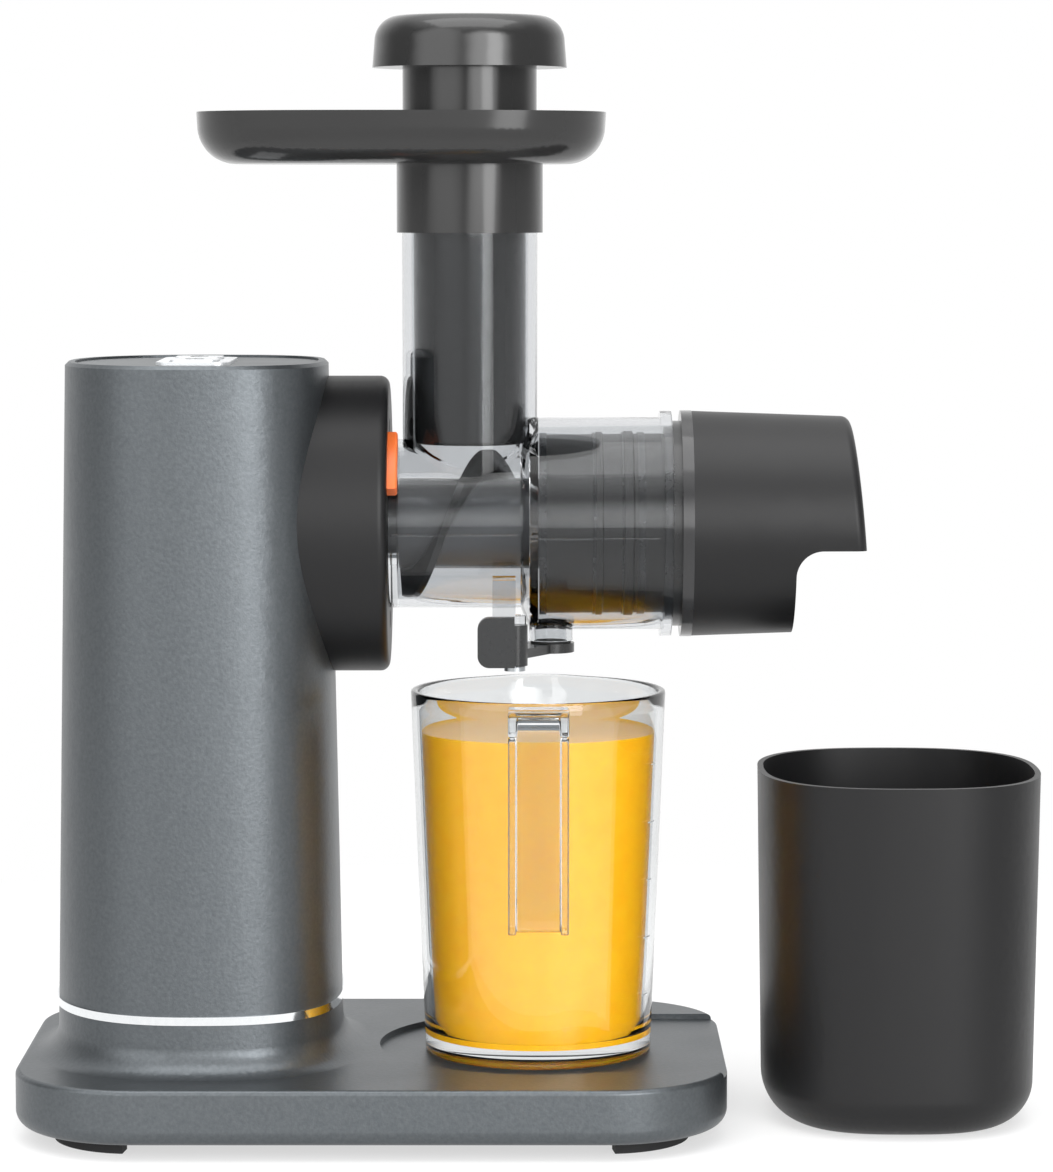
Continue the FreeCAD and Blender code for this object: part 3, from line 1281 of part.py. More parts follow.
def make_jug():
    """Clear jug with a pour lip at the back and a hooked channel handle at the front."""
    bottom = jug_bottom
    top = bottom + D.jug_height
    wall = D.jug_wall
    floor = bottom + D.jug_floor
    outline = [
        (0, bottom), (D.jug_bottom_radius, bottom, 3.5), (D.jug_rim_radius, top, 0.9), (D.jug_rim_radius - wall, top, 0.9),
        (D.jug_bottom_radius - wall, floor, 4.0), (0, floor),
    ]
    cup = turned("jug_cup", "Z", outline, jug_x)
    lip_low = top - D.jug_lip_height
    reach = D.jug_rim_radius - 8 + D.jug_lip_reach
    lip_outer = doc.addObject("Part::Cone", "jug_lip_outer")
    bind(lip_outer, Radius1=2.0, Radius2=14.0, Height=D.jug_lip_height)
    place(lip_outer, jug_x, reach - 8, lip_low)
    lip_inner = doc.addObject("Part::Cone", "jug_lip_inner")
    bind(lip_inner, Radius1=0.4, Radius2=12.0, Height=D.jug_lip_height)
    place(lip_inner, jug_x, reach - 8.3, lip_low + 0.05)
    room = doc.addObject("Part::Cone", "jug_room")
    slope = (D.jug_rim_radius - D.jug_bottom_radius) / D.jug_height
    low_radius = D.jug_bottom_radius - wall + slope * D.jug_floor
    bind(room, Radius1=low_radius, Radius2=D.jug_rim_radius - wall, Height=D.jug_height - D.jug_floor)
    place(room, jug_x, 0, floor)
    upper = top - D.handle_thickness - 0.6
    reach_y = D.handle_reach
    inner_y = reach_y - D.handle_thickness
    low = top - D.handle_length
    bend = D.handle_bend
    root = D.jug_rim_radius - 3
    strap = [
        (-root, top - 0.6), (-reach_y, top - 0.6, bend), (-reach_y, low), (-inner_y, low),
        (-inner_y, upper, bend - D.handle_thickness), (-root, upper),
    ]
    half = D.handle_width / 2
    handle = padded("jug_handle_strap", "YZ_Plane", strap, D.handle_width, jug_x - half)
    flange_y = reach_y - D.handle_flange
    flange = [
        (-root, top - 0.6), (-reach_y, top - 0.6, bend), (-reach_y, low), (-inner_y, low),
        (-flange_y, low + 14), (-flange_y, upper - D.handle_flange + 3.4, 7.5), (-root, upper - D.handle_flange + 3.4),
    ]
    left = padded("jug_handle_left", "YZ_Plane", flange, 2.0, jug_x - half)
    right = padded("jug_handle_right", "YZ_Plane", flange, 2.0, jug_x + half - 2.0)
    solid = fuse("jug_solid", cup, lip_outer, handle, left, right)
    keep("jug", cut("jug", solid, lip_inner, room))


def make_bin():
    wall = float(D.bin_wall)
    power = D.bin_power

    def tub(inset, z_low, z_high, radius):
        share = -float(z_low) / float(D.bin_height)
        half_x = float(D.bin_lower_half_length) - inset
        half_y = float(D.bin_lower_half_depth) - inset
        block = lofted([
            oval(bin_x, half_x, half_y, power, power, z_low),
            oval(bin_x, float(D.bin_upper_half_length) - inset, float(D.bin_upper_half_depth) - inset, power, power, z_high),
        ])
        bottom = edges_where(block, lambda middle, edge: abs(middle.z - float(z_low)) < 0.01)
        return block.makeFillet(radius, bottom)

    solid = tub(0.0, 0, D.bin_height, float(D.bin_round))
    solid = solid.cut(tub(wall, wall, D.bin_height + 1, float(D.bin_round) - wall))
    keep("pulp_bin", shaped("pulp_bin", solid))


make_base()
make_base_cover()
make_feet_and_screws()
make_tower()
make_controls()
make_electrics()
make_gear_train()
make_motor()
make_collar()
make_chamber()
make_lever()
make_filter()
make_auger()
make_end_cap()
make_tray_and_pusher()
make_jug()
make_bin()
doc.recompute()

for item in doc.Objects:
    if "Invalid" in item.State or "Error" in item.State:
        raise RuntimeError(f"{item.Label} failed: {item.State}")
for name, item in pieces.items():
    if item.Shape.isNull() or not item.Shape.isValid():
        raise RuntimeError(f"{name} has no valid solid")
os.makedirs("parts", exist_ok=True)
for name, item in pieces.items():
    item.Shape.exportStep(f"parts/{name}.step")
    print(f"{name}: {len(item.Shape.Solids)} solid, {item.Shape.Volume:.1f} mm3")
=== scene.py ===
import json
import math

import bmesh
import bpy
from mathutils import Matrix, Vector


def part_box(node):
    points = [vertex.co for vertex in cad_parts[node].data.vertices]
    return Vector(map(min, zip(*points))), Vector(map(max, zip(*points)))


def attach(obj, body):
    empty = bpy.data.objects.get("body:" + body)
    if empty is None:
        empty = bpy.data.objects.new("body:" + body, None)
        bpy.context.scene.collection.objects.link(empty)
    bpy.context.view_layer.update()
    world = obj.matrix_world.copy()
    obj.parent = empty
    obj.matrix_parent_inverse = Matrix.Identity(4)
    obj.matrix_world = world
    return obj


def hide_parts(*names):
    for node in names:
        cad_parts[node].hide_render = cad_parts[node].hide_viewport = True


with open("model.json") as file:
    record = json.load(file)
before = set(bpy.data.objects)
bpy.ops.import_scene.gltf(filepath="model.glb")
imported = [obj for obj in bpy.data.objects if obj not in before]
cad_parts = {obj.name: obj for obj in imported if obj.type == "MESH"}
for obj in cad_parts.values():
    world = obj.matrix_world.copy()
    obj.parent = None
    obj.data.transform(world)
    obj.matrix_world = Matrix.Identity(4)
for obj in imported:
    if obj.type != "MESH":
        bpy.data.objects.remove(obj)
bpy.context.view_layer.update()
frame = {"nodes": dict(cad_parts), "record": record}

nodes = frame["nodes"]
bodies = frame["record"]["behaviour"]["bodies"]
body_of = {node: body for body, names in bodies.items() for node in names}
slot_of = {part["node"]: part["material_slot"] for part in frame["record"]["subparts"]}

MM_PER_M = 1000.0        # millimetres in a metre
MERGE = 0.000002         # points closer together than this, in metres, are one point
PRINT = 0.06             # thickness of a printed mark, in millimetres


def middle(low, high):
    """The middle of a box."""
    return [(a + b) / 2 for a, b in zip(low, high)]


# The main places, in metres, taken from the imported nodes
jug_low, jug_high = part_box("jug")
jug_x = middle(jug_low, jug_high)[0]
jug_foot = jug_low[2]
jug_rim = jug_high[2]
panel_x = middle(*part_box("control_panel"))[0]
AXIS_Z = 0.2052          # height of the screw's axis
JUICE_FLOOR = 0.0284
JUICE_TOP = 0.1340


# Materials

# A Mix node's sockets when it mixes colours
COLOUR_A, COLOUR_B, MIXED_COLOUR = 6, 7, 2


def linear(code):
    """An sRGB hex colour as the linear colour that a shader takes."""
    parts = [int(code[i:i + 2], 16) / 255 for i in (1, 3, 5)]
    levels = [p / 12.92 if p <= 0.04045 else ((p + 0.055) / 1.055) ** 2.4 for p in parts]
    return (*levels, 1.0)


def per_metre(millimetres):
    """The texture scale at which one cell of a pattern is that wide."""
    return MM_PER_M / millimetres


def add(tree, kind, links=(), **settings):
    """Adds a node, sets its settings and values by name, and links its inputs."""
    node = tree.nodes.new(kind)
    for name, value in settings.items():
        if hasattr(node, name):
            setattr(node, name, value)
        else:
            node.inputs[name.replace("_", " ")].default_value = value
    for socket, source in links:
        tree.links.new(source, node.inputs[socket])
    return node


def new_material(name):
    """An empty material and its node tree."""
    material = bpy.data.materials.new(name)
    material.use_nodes = True
    material.node_tree.nodes.clear()
    return material, material.node_tree


def moulded(name, colour, dark, roughness, grain, depth, metallic=0.0, shine=0.5):
    """A moulded or sprayed finish: fine grain, with a faint unevenness in tone and gloss."""
    patch = 35.0             # millimetres across which the gloss drifts
    drift = 0.02             # how far the roughness drifts to either side
    material, tree = new_material(name)
    place = add(tree, "ShaderNodeTexCoord").outputs["Object"]
    fine = add(tree, "ShaderNodeTexNoise", [("Vector", place)],
               Scale=per_metre(grain), Detail=3.0, Roughness=0.6)
    broad = add(tree, "ShaderNodeTexNoise", [("Vector", place)], Scale=per_metre(patch), Detail=2.0)
    tone = add(tree, "ShaderNodeMix", [(0, fine.outputs["Fac"])], data_type="RGBA")
    tone.inputs[COLOUR_A].default_value = linear(dark)
    tone.inputs[COLOUR_B].default_value = linear(colour)
    gloss = add(tree, "ShaderNodeMapRange", [("Value", broad.outputs["Fac"])],
                From_Min=0.3, From_Max=0.7, To_Min=roughness - drift, To_Max=roughness + drift)
    bump = add(tree, "ShaderNodeBump", [("Height", fine.outputs["Fac"])],
               Strength=0.6, Distance=depth / MM_PER_M)
    shader = add(tree, "ShaderNodeBsdfPrincipled", [
        ("Base Color", tone.outputs[MIXED_COLOUR]),
        ("Roughness", gloss.outputs["Result"]),
        ("Normal", bump.outputs["Normal"]),
    ], Metallic=metallic)
    shader.inputs["Specular IOR Level"].default_value = shine
    add(tree, "ShaderNodeOutputMaterial", [("Surface", shader.outputs[0])])
    return material


def clear(name, colour, roughness, waviness, lamp_tint, bend):
    """Clear injection-moulded copolyester: glossy, with very shallow flow waves, and lamps
    shine through it."""
    wave = 9.0               # millimetres from one flow wave to the next
    material, tree = new_material(name)
    place = add(tree, "ShaderNodeTexCoord").outputs["Object"]
    waves = add(tree, "ShaderNodeTexNoise", [("Vector", place)], Scale=per_metre(wave), Detail=1.0)
    bump = add(tree, "ShaderNodeBump", [("Height", waves.outputs["Fac"])],
               Strength=0.3, Distance=waviness / MM_PER_M)
    shader = add(tree, "ShaderNodeBsdfPrincipled", [("Normal", bump.outputs["Normal"])],
                 Roughness=roughness, IOR=bend)
    shader.inputs["Base Color"].default_value = linear(colour)
    shader.inputs["Transmission Weight"].default_value = 1.0
    through = add(tree, "ShaderNodeBsdfTransparent")
    through.inputs["Color"].default_value = linear(lamp_tint)
    path = add(tree, "ShaderNodeLightPath")
    mixed = add(tree, "ShaderNodeMixShader", [
        (0, path.outputs["Is Shadow Ray"]), (1, shader.outputs[0]), (2, through.outputs[0]),
    ])
    add(tree, "ShaderNodeOutputMaterial", [("Surface", mixed.outputs[0])])
    return material


# Each finish: name, sRGB colour, darker colour of its grain, roughness, grain and depth in mm.
# A grain that is finer on the real piece is drawn about half a millimetre wide, so that it shows.

# Slate grey metallic powder coat: a fine leathery skin that breaks up the highlight
slate = moulded("slate_powder_coat", "#65696C", "#4D5154", 0.40, 1.3, 0.11, metallic=0.85)
# Chrome-plated trim: mirror bright
chrome = moulded("chrome_plating", "#F2F4F5", "#E4E7E9", 0.07, 1.5, 0.002, metallic=1.0)
# Satin silver plate on the lid: soft metallic sheen
silver = moulded("satin_silver_plate", "#E6E8EA", "#D8DADC", 0.30, 0.5, 0.006, metallic=0.5)
# Black ABS with a fine spark-eroded grain: satin, almost matt
black_abs = moulded("black_grained_abs", "#161617", "#101011", 0.42, 0.5, 0.03, shine=0.30)
# Dark grey polished ABS: glossy, with soft window-like highlights
grey_abs = moulded("dark_grey_polished_abs", "#232323", "#212121", 0.16, 1.2, 0.002)
# Smoke grey filled plastic of the drum and the lever: glossy
smoke = moulded("smoke_grey_plastic", "#232425", "#1B1C1D", 0.24, 1.5, 0.002)
# Fine punched screen round the drum: nearly black between its holes
screen = moulded("punched_drum_screen", "#1E1D1C", "#0E0E0E", 0.40, 0.7, 0.05)
# Polished ABS of the bayonet's lock ring: dark and glossy
ring_abs = moulded("black_polished_ring", "#2A2A2B", "#232324", 0.14, 1.0, 0.002)
# Orange ABS: satin
orange = moulded("orange_satin_abs", "#D96A30", "#CC5F28", 0.35, 0.5, 0.02)
# Black rubber feet: matt with a dusty grain
rubber = moulded("black_rubber", "#1A1A1B", "#121213", 0.75, 0.7, 0.04)
# Dark pad-printed marks on the two buttons: flat and even
print_ink = moulded("dark_print_ink", "#2C2F31", "#232628", 0.50, 0.3, 0.002)
# Pale grey pad print of the measuring marks: flat and even
pale_ink = moulded("pale_print_ink", "#B4B7B9", "#A4A8AA", 0.50, 0.3, 0.002)
# The chamber's plastic: a little greyer than the jug's, and it bends the view less
chamber_clear = clear("clear_grey_copolyester", "#D9DBDD", 0.02, 0.02, "#C9CCCE", 1.34)
# The jug's plastic: nearly colourless, with a bright edge
jug_clear = clear("clear_copolyester", "#E6E8E9", 0.01, 0.01, "#FFFFFF", 1.5)

# Finishes of the inner works, by slot
INNER = {
    # Zinc-plated screws, pins and shafts: bright grey metal with a soft sheen
    "steel": moulded("zinc_plated_steel", "#B9BCBF", "#A4A8AB", 0.30, 0.6, 0.005, metallic=1.0),
    # Rolled steel of the motor and its gears: darker and duller
    "motor_steel": moulded("rolled_motor_steel", "#8C9093", "#7B7F82", 0.42, 0.8, 0.01,
                           metallic=1.0),
    # Moulded nylon gear: creamy white, satin
    "gear_nylon": moulded("white_gear_nylon", "#E6E3DA", "#DAD7CD", 0.45, 0.6, 0.01),
    # Glass-filled nylon of the gearbox: mid grey, dull
    "gear_housing": moulded("grey_glass_filled_nylon", "#6A6C6E", "#5C5E60", 0.55, 0.7, 0.02),
    # Sintered bronze bushes: brown metal, slightly open
    "bronze": moulded("sintered_bronze", "#A87C4A", "#8F6739", 0.45, 0.3, 0.01, metallic=1.0),
    # Turned copper of the commutator: warm and fairly bright
    "copper": moulded("turned_copper", "#C4784D", "#B0663E", 0.30, 0.5, 0.005, metallic=1.0),
    # Pressed ferrite: charcoal, matt
    "magnet": moulded("ferrite_magnet", "#3A3B3D", "#2C2D2F", 0.60, 0.4, 0.02),
    # Circuit board under its solder mask: green, satin
    "board": moulded("green_circuit_board", "#2C6B45", "#235A39", 0.40, 1.0, 0.01),
    # Moulded epoxy of the components: black, dull
    "component": moulded("black_component_epoxy", "#2A2A2C", "#202022", 0.50, 0.5, 0.01),
}
BY_SLOT = {
    "slate_metal": slate, "chrome": chrome, "silver_panel": silver, "black_satin": black_abs,
    "grey_gloss": grey_abs, "clear_plastic": chamber_clear, "smoke_plastic": smoke,
    "orange_plastic": orange, "black_rubber": rubber, **INNER,
}
for node, piece in nodes.items():
    piece.data.materials.clear()
    piece.data.materials.append(BY_SLOT[slot_of[node]])


def screw_with_painted_flight_shade():
    """Smoke grey screw with painted shade: the thick flights, which swallow the light and look
    darker, are painted darker than the shaft.
    """
    shaft_radius, flight_radius = 0.0158, 0.0175        # metres, between which the painted shade darkens it
    material, tree = new_material("smoke_grey_screw_painted_flight_shade")
    place = add(tree, "ShaderNodeTexCoord").outputs["Object"]
    moved = add(tree, "ShaderNodeVectorMath", [(0, place)], operation="SUBTRACT")
    moved.inputs[1].default_value = (0, 0, AXIS_Z)
    across = add(tree, "ShaderNodeVectorMath", [(0, moved.outputs[0])], operation="MULTIPLY")
    across.inputs[1].default_value = (0, 1, 1)
    radius = add(tree, "ShaderNodeVectorMath", [(0, across.outputs[0])], operation="LENGTH")
    # painted shade: the colour goes from the shaft's grey to near black at the flights' tips
    depth = add(tree, "ShaderNodeMapRange", [("Value", radius.outputs["Value"])],
                From_Min=shaft_radius, From_Max=flight_radius)
    fine = add(tree, "ShaderNodeTexNoise", [("Vector", place)], Scale=per_metre(1.5), Detail=2.0)
    tone = add(tree, "ShaderNodeMix", [(0, depth.outputs["Result"])], data_type="RGBA")
    tone.inputs[COLOUR_A].default_value = linear("#4E4F51")
    tone.inputs[COLOUR_B].default_value = linear("#141516")
    bump = add(tree, "ShaderNodeBump", [("Height", fine.outputs["Fac"])],
               Strength=0.4, Distance=0.000002)
    gloss = add(tree, "ShaderNodeMapRange", [("Value", fine.outputs["Fac"])],
                To_Min=0.20, To_Max=0.28)
    shader = add(tree, "ShaderNodeBsdfPrincipled", [
        ("Base Color", tone.outputs[MIXED_COLOUR]),
        ("Roughness", gloss.outputs["Result"]),
        ("Normal", bump.outputs["Normal"]),
    ])
    add(tree, "ShaderNodeOutputMaterial", [("Surface", shader.outputs[0])])
    return material


def orange_juice():
    """Pulpy orange juice: opaque yellow-orange that glows a little where light enters it."""
    material, tree = new_material("orange_juice")
    place = add(tree, "ShaderNodeTexCoord").outputs["Object"]
    cloud = add(tree, "ShaderNodeTexNoise", [("Vector", place)], Scale=per_metre(6.0), Detail=4.0)
    tone = add(tree, "ShaderNodeMix", [(0, cloud.outputs["Fac"])], data_type="RGBA")
    tone.inputs[COLOUR_A].default_value = linear("#FFB000")
    tone.inputs[COLOUR_B].default_value = linear("#FFC21C")
    bump = add(tree, "ShaderNodeBump", [("Height", cloud.outputs["Fac"])],
               Strength=0.3, Distance=0.0001)
    shader = add(tree, "ShaderNodeBsdfPrincipled", [
        ("Base Color", tone.outputs[MIXED_COLOUR]), ("Normal", bump.outputs["Normal"]),
    ], Roughness=0.25)
    shader.inputs["Subsurface Weight"].default_value = 0.25
    shader.inputs["Subsurface Radius"].default_value = (0.006, 0.003, 0.001)
    shader.inputs["Subsurface Scale"].default_value = 1.0
    add(tree, "ShaderNodeOutputMaterial", [("Surface", shader.outputs[0])])
    return material


juice_material = orange_juice()


# Making and handing over pieces

def alone(piece):
    """Selects one piece and nothing else."""
    bpy.ops.object.select_all(action="DESELECT")
    piece.select_set(True)
    bpy.context.view_layer.objects.active = piece


def edit(piece):
    """Opens one piece in edit mode."""
    alone(piece)
    bpy.ops.object.mode_set(mode="EDIT")


def pick(piece, test, of="verts"):
    """In edit mode, selects the vertices, edges or faces that pass a test, and nothing else."""
    bpy.ops.mesh.select_all(action="DESELECT")
    bpy.ops.mesh.select_mode(type={"verts": "VERT", "edges": "EDGE", "faces": "FACE"}[of])
    mesh = bmesh.from_edit_mesh(piece.data)
    for part in getattr(mesh, of):
        part.select_set(test(part))
    mesh.select_flush_mode()
    bmesh.update_edit_mesh(piece.data)


def applied():
    """Moves the selected piece's place, turn and scale into its mesh."""
    bpy.ops.object.transform_apply(location=True, rotation=True, scale=True)


def settled(piece):
    """Merges a piece's doubles, points its faces outwards and applies its place."""
    bpy.ops.object.mode_set(mode="EDIT")
    bpy.ops.mesh.select_all(action="SELECT")
    bpy.ops.mesh.remove_doubles(threshold=MERGE)
    bpy.ops.mesh.normals_make_consistent(inside=False)
    bpy.ops.object.mode_set(mode="OBJECT")
    applied()


def smooth(degrees):
    """Shades the selected piece smooth, with edges sharper than that left crisp."""
    bpy.ops.object.shade_smooth_by_angle(angle=math.radians(degrees))


def softened(piece, width, segments, degrees=40.0):
    """Rounds the sharp edges by a bevel in millimetres and shades the rest smooth."""
    alone(piece)
    rounding = piece.modifiers.new("rounding", "BEVEL")
    rounding.width = width / MM_PER_M
    rounding.segments = segments
    rounding.limit_method = "ANGLE"
    rounding.angle_limit = math.radians(degrees)
    bpy.ops.object.modifier_apply(modifier=rounding.name)
    smooth(degrees)


def hand_over(piece, name, material, body, slot, *replaced):
    """Names a finished piece, gives it its finish and lets it ride on its body."""
    piece.name = name
    piece.data.name = name
    piece.data.materials.clear()
    piece.data.materials.append(material)
    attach(piece, body)
    if replaced:
        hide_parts(*replaced)


def dressed(node, name, material):
    """A merged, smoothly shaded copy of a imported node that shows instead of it."""
    bpy.ops.object.select_all(action="DESELECT")
    piece = bpy.data.objects.new(name, nodes[node].data.copy())
    bpy.context.scene.collection.objects.link(piece)
    edit(piece)
    bpy.ops.mesh.select_all(action="SELECT")
    bpy.ops.mesh.remove_doubles(threshold=MERGE)
    bpy.ops.mesh.customdata_custom_splitnormals_clear()
    bpy.ops.object.mode_set(mode="OBJECT")
    smooth(32.0)
    even = piece.modifiers.new("even_normals", "WEIGHTED_NORMAL")
    even.keep_sharp = True
    bpy.ops.object.modifier_apply(modifier=even.name)
    hand_over(piece, name, material, body_of[node], slot_of[node], node)


LOOKS = {
    "auger": screw_with_painted_flight_shade(), "lock_ring": ring_abs, "start_button": silver,
    "reverse_button": silver,
}
for node in (
    "base_shell", "chrome_band", "tower_shell", "tower_lid", "control_panel", "start_button",
    "reverse_button", "adapter_collar", "release_button", "juicing_chamber", "filter_neck_ring",
    "lock_ring", "end_cap", "juice_filter", "auger", "drip_lever", "feed_tray", "pusher_stem",
    "pusher_cap", "pulp_bin", "lever_screw", "foot_front_left", "foot_front_right",
    "foot_rear_left", "foot_rear_right",
):
    dressed(node, "shown_" + node, LOOKS.get(node, BY_SLOT[slot_of[node]]))


def lathed(steps, segments):
    """A turned shape: a filled ring, pushed and widened from one (radius, height) to the next,
    in millimetres."""
    radius, height = steps[0]
    bpy.ops.object.select_all(action="DESELECT")
    bpy.ops.mesh.primitive_circle_add(
        vertices=segments, radius=radius / MM_PER_M, fill_type="NGON",
        location=(0, 0, height / MM_PER_M)
    )
    piece = bpy.context.object
    bpy.ops.object.transform_apply(location=True, rotation=False, scale=False)
    edit(piece)
    bpy.ops.mesh.select_all(action="SELECT")
    for next_radius, next_height in steps[1:]:
        rise = (next_height - height) / MM_PER_M
        bpy.ops.mesh.extrude_region_move(TRANSFORM_OT_translate={"value": (0, 0, rise)})
        growth = next_radius / radius
        bpy.ops.transform.resize(value=(growth, growth, 1))
        radius, height = next_radius, next_height
    bpy.ops.object.mode_set(mode="OBJECT")
    return piece


def opened(piece):
    """In edit mode, turns a lathed shape into a ring: its two end faces go, and their rims are
    joined by a wall."""
    pick(piece, lambda f: len(f.verts) > 4, of="faces")
    bpy.ops.mesh.delete(type="ONLY_FACE")
    pick(piece, lambda e: e.is_boundary, of="edges")
    bpy.ops.mesh.bridge_edge_loops()


def bar(place, size):
    """A block of a given size at its place."""
    bpy.ops.object.select_all(action="DESELECT")
    bpy.ops.mesh.primitive_cube_add(size=1.0, location=place)
    piece = bpy.context.object
    piece.scale = size
    applied()
    return piece


def jug():
    """Clear jug: thin tapered wall, thick floor raised on a foot ring, rounded rim with a
    pouring lip at the back."""
    foot = jug_foot * MM_PER_M
    rim = jug_rim * MM_PER_M
    foot_ring = [
        (30.0, foot + 3.0), (33.5, foot + 2.7), (35.2, foot + 1.6), (36.0, foot + 0.3),
        (36.6, foot), (38.0, foot), (38.8, foot + 0.5), (39.15, foot + 1.4),
    ]
    outer_wall = [
        (39.6, foot + 14.0), (40.6, foot + 40.0), (41.8, foot + 70.0), (43.0, foot + 100.0),
    ]
    rounded_rim = [
        (43.75, rim - 6.0), (43.95, rim - 1.0), (43.75, rim - 0.25), (43.2, rim), (42.2, rim),
        (41.65, rim - 0.25), (41.4, rim - 1.0), (41.15, rim - 6.0),
    ]
    inner_wall = [
        (40.3, foot + 100.0), (39.1, foot + 70.0), (37.9, foot + 40.0), (36.9, foot + 14.0),
    ]
    raised_floor = [(36.3, foot + 9.0), (35.2, foot + 7.2), (33.0, foot + 6.2), (28.0, foot + 6.0)]
    piece = lathed(foot_ring + outer_wall + rounded_rim + inner_wall + raised_floor, 160)
    piece.location = (jug_x, 0, 0)
    settled(piece)
    lip_depth, lip_back, lip_half = 0.0012, 0.030, 0.006
    edit(piece)
    pick(piece, lambda v: v.co.z > jug_rim - lip_depth and v.co.y > lip_back
         and abs(v.co.x - jug_x) < lip_half)
    bpy.ops.transform.translate(
        value=(0, 0.0030, 0.0), use_proportional_edit=True, proportional_edit_falloff="SMOOTH",
        proportional_size=0.014
    )
    bpy.ops.object.mode_set(mode="OBJECT")
    smooth(60)
    hand_over(piece, "clear_jug", jug_clear, "juice_jug", "clear_plastic", "jug")


def jug_handle():
    """Hooked channel handle: a U section carried out from the rim, bent down and run straight
    to its foot."""
    half = 0.0102            # half of the channel's width
    web = 0.0026             # thickness of its back
    wall = 0.0028            # thickness of its two sides
    lip = 0.0056             # how far the sides stand out from the back
    bend = 0.0125            # radius of the hook
    top = jug_rim - 0.0012
    start_y = -0.0420
    out_y = jug_low[1] + 0.0006
    foot_z = jug_rim - 0.0768
    low = top - web
    bpy.ops.object.select_all(action="DESELECT")
    bpy.ops.mesh.primitive_plane_add(
        size=1.0, location=(jug_x, start_y, top - web / 2), rotation=(math.pi / 2, 0, 0)
    )
    piece = bpy.context.object
    piece.scale = (2 * half, web, 1)
    applied()
    edit(piece)
    for side in (-1, 1):
        bpy.ops.mesh.select_all(action="SELECT")
        bpy.ops.mesh.bisect(plane_co=(jug_x + side * (half - wall), 0, 0), plane_no=(1, 0, 0))
    pick(piece, lambda e: all(v.co.z < low + 1e-5 for v in e.verts)
         and abs(sum(v.co.x for v in e.verts) / 2 - jug_x) > half - wall, of="edges")
    bpy.ops.mesh.extrude_region_move(TRANSFORM_OT_translate={"value": (0, 0, -lip)})
    bpy.ops.mesh.select_all(action="SELECT")
    run_out = out_y + bend - start_y
    bpy.ops.mesh.extrude_region_move(TRANSFORM_OT_translate={"value": (0, run_out, 0)})
    bpy.ops.mesh.spin(
        steps=12, angle=math.pi / 2, center=(jug_x, out_y + bend, top - bend), axis=(1, 0, 0)
    )
    run_down = foot_z - (top - bend)
    bpy.ops.mesh.extrude_region_move(TRANSFORM_OT_translate={"value": (0, 0, run_down)})
    settled(piece)
    softened(piece, 0.9, segments=4)
    hand_over(piece, "jug_handle", jug_clear, "juice_jug", "clear_plastic")


def measuring_marks():
    """Five short raised marks on the right of the jug, one for each hundred millilitres."""
    first, spacing = 0.022, 0.0200                # heights above the jug's foot
    low_radius, widening, tall = 0.0397, 0.0042, 0.112        # of the jug's outer wall
    wall_foot = 0.014
    thick, long_mark, short_mark, high = 0.0004, 0.0050, 0.0034, 0.0005
    for step in range(5):
        height = jug_foot + first + step * spacing
        radius = low_radius + widening * (height - jug_foot - wall_foot) / tall
        mark = bar((radius, 0, height), (thick, long_mark if step % 2 else short_mark, high))
        mark.rotation_euler = (0, 0, math.radians(-24))
        mark.location = (jug_x, 0, 0)
        applied()
        softened(mark, 0.12, segments=2)
        hand_over(mark, f"measuring_mark_{step + 1}", pale_ink, "juice_jug", "clear_plastic")


def juice():
    """The juice in the jug: a cone with a thin meniscus at the wall."""
    height = JUICE_TOP - JUICE_FLOOR
    bpy.ops.mesh.primitive_cone_add(
        vertices=128, radius1=0.0358, radius2=0.0403, depth=height,
        location=(jug_x, 0, JUICE_FLOOR + height / 2)
    )
    piece = bpy.context.object
    alone(piece)
    applied()
    bpy.ops.object.mode_set(mode="EDIT")
    pick(piece, lambda f: f.normal.z > 0.9, of="faces")
    for inset, drop in ((0.0012, 0.0007), (0.0025, 0.0003)):
        bpy.ops.mesh.inset(thickness=inset)
        bpy.ops.transform.translate(value=(0, 0, -drop))
    bpy.ops.object.mode_set(mode="OBJECT")
    smooth(50)
    hand_over(piece, "juice", juice_material, "juice_jug", "clear_plastic")


def drum_screen():
    """Fine screen sleeve round the drum, with two low stiffening beads."""
    filter_low, filter_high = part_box("juice_filter")
    length = (filter_high[0] - filter_low[0]) * MM_PER_M - 3.2
    inside, outside = 30.0, 30.75
    steps = [
        (inside, 0.0), (outside, 0.0),
        (outside, 18.5), (31.5, 19.0), (31.5, 21.0), (outside, 21.5),
        (outside, 28.0), (31.7, 28.6), (31.7, 31.4), (outside, 32.0),
        (outside, length), (inside, length),
    ]
    piece = lathed(steps, 128)
    edit(piece)
    opened(piece)
    bpy.ops.object.mode_set(mode="OBJECT")
    piece.rotation_euler = (0, math.pi / 2, 0)
    piece.location = (filter_low[0] + 0.0003, 0, AXIS_Z)
    settled(piece)
    smooth(35)
    hand_over(piece, "drum_screen", screen, "chamber", "smoke_plastic")


def parting_line(name, start, end, radius):
    """The fine raised line that the two mould halves leave along the chamber's front."""
    piece = bar(((start + end) / 2, -radius, 0), (end - start, 0.0005, 0.0007))
    piece.rotation_euler = (math.radians(4), 0, 0)
    piece.location = (0, 0, AXIS_Z)
    applied()
    softened(piece, 0.15, segments=2)
    hand_over(piece, name, chamber_clear, "chamber", "clear_plastic")


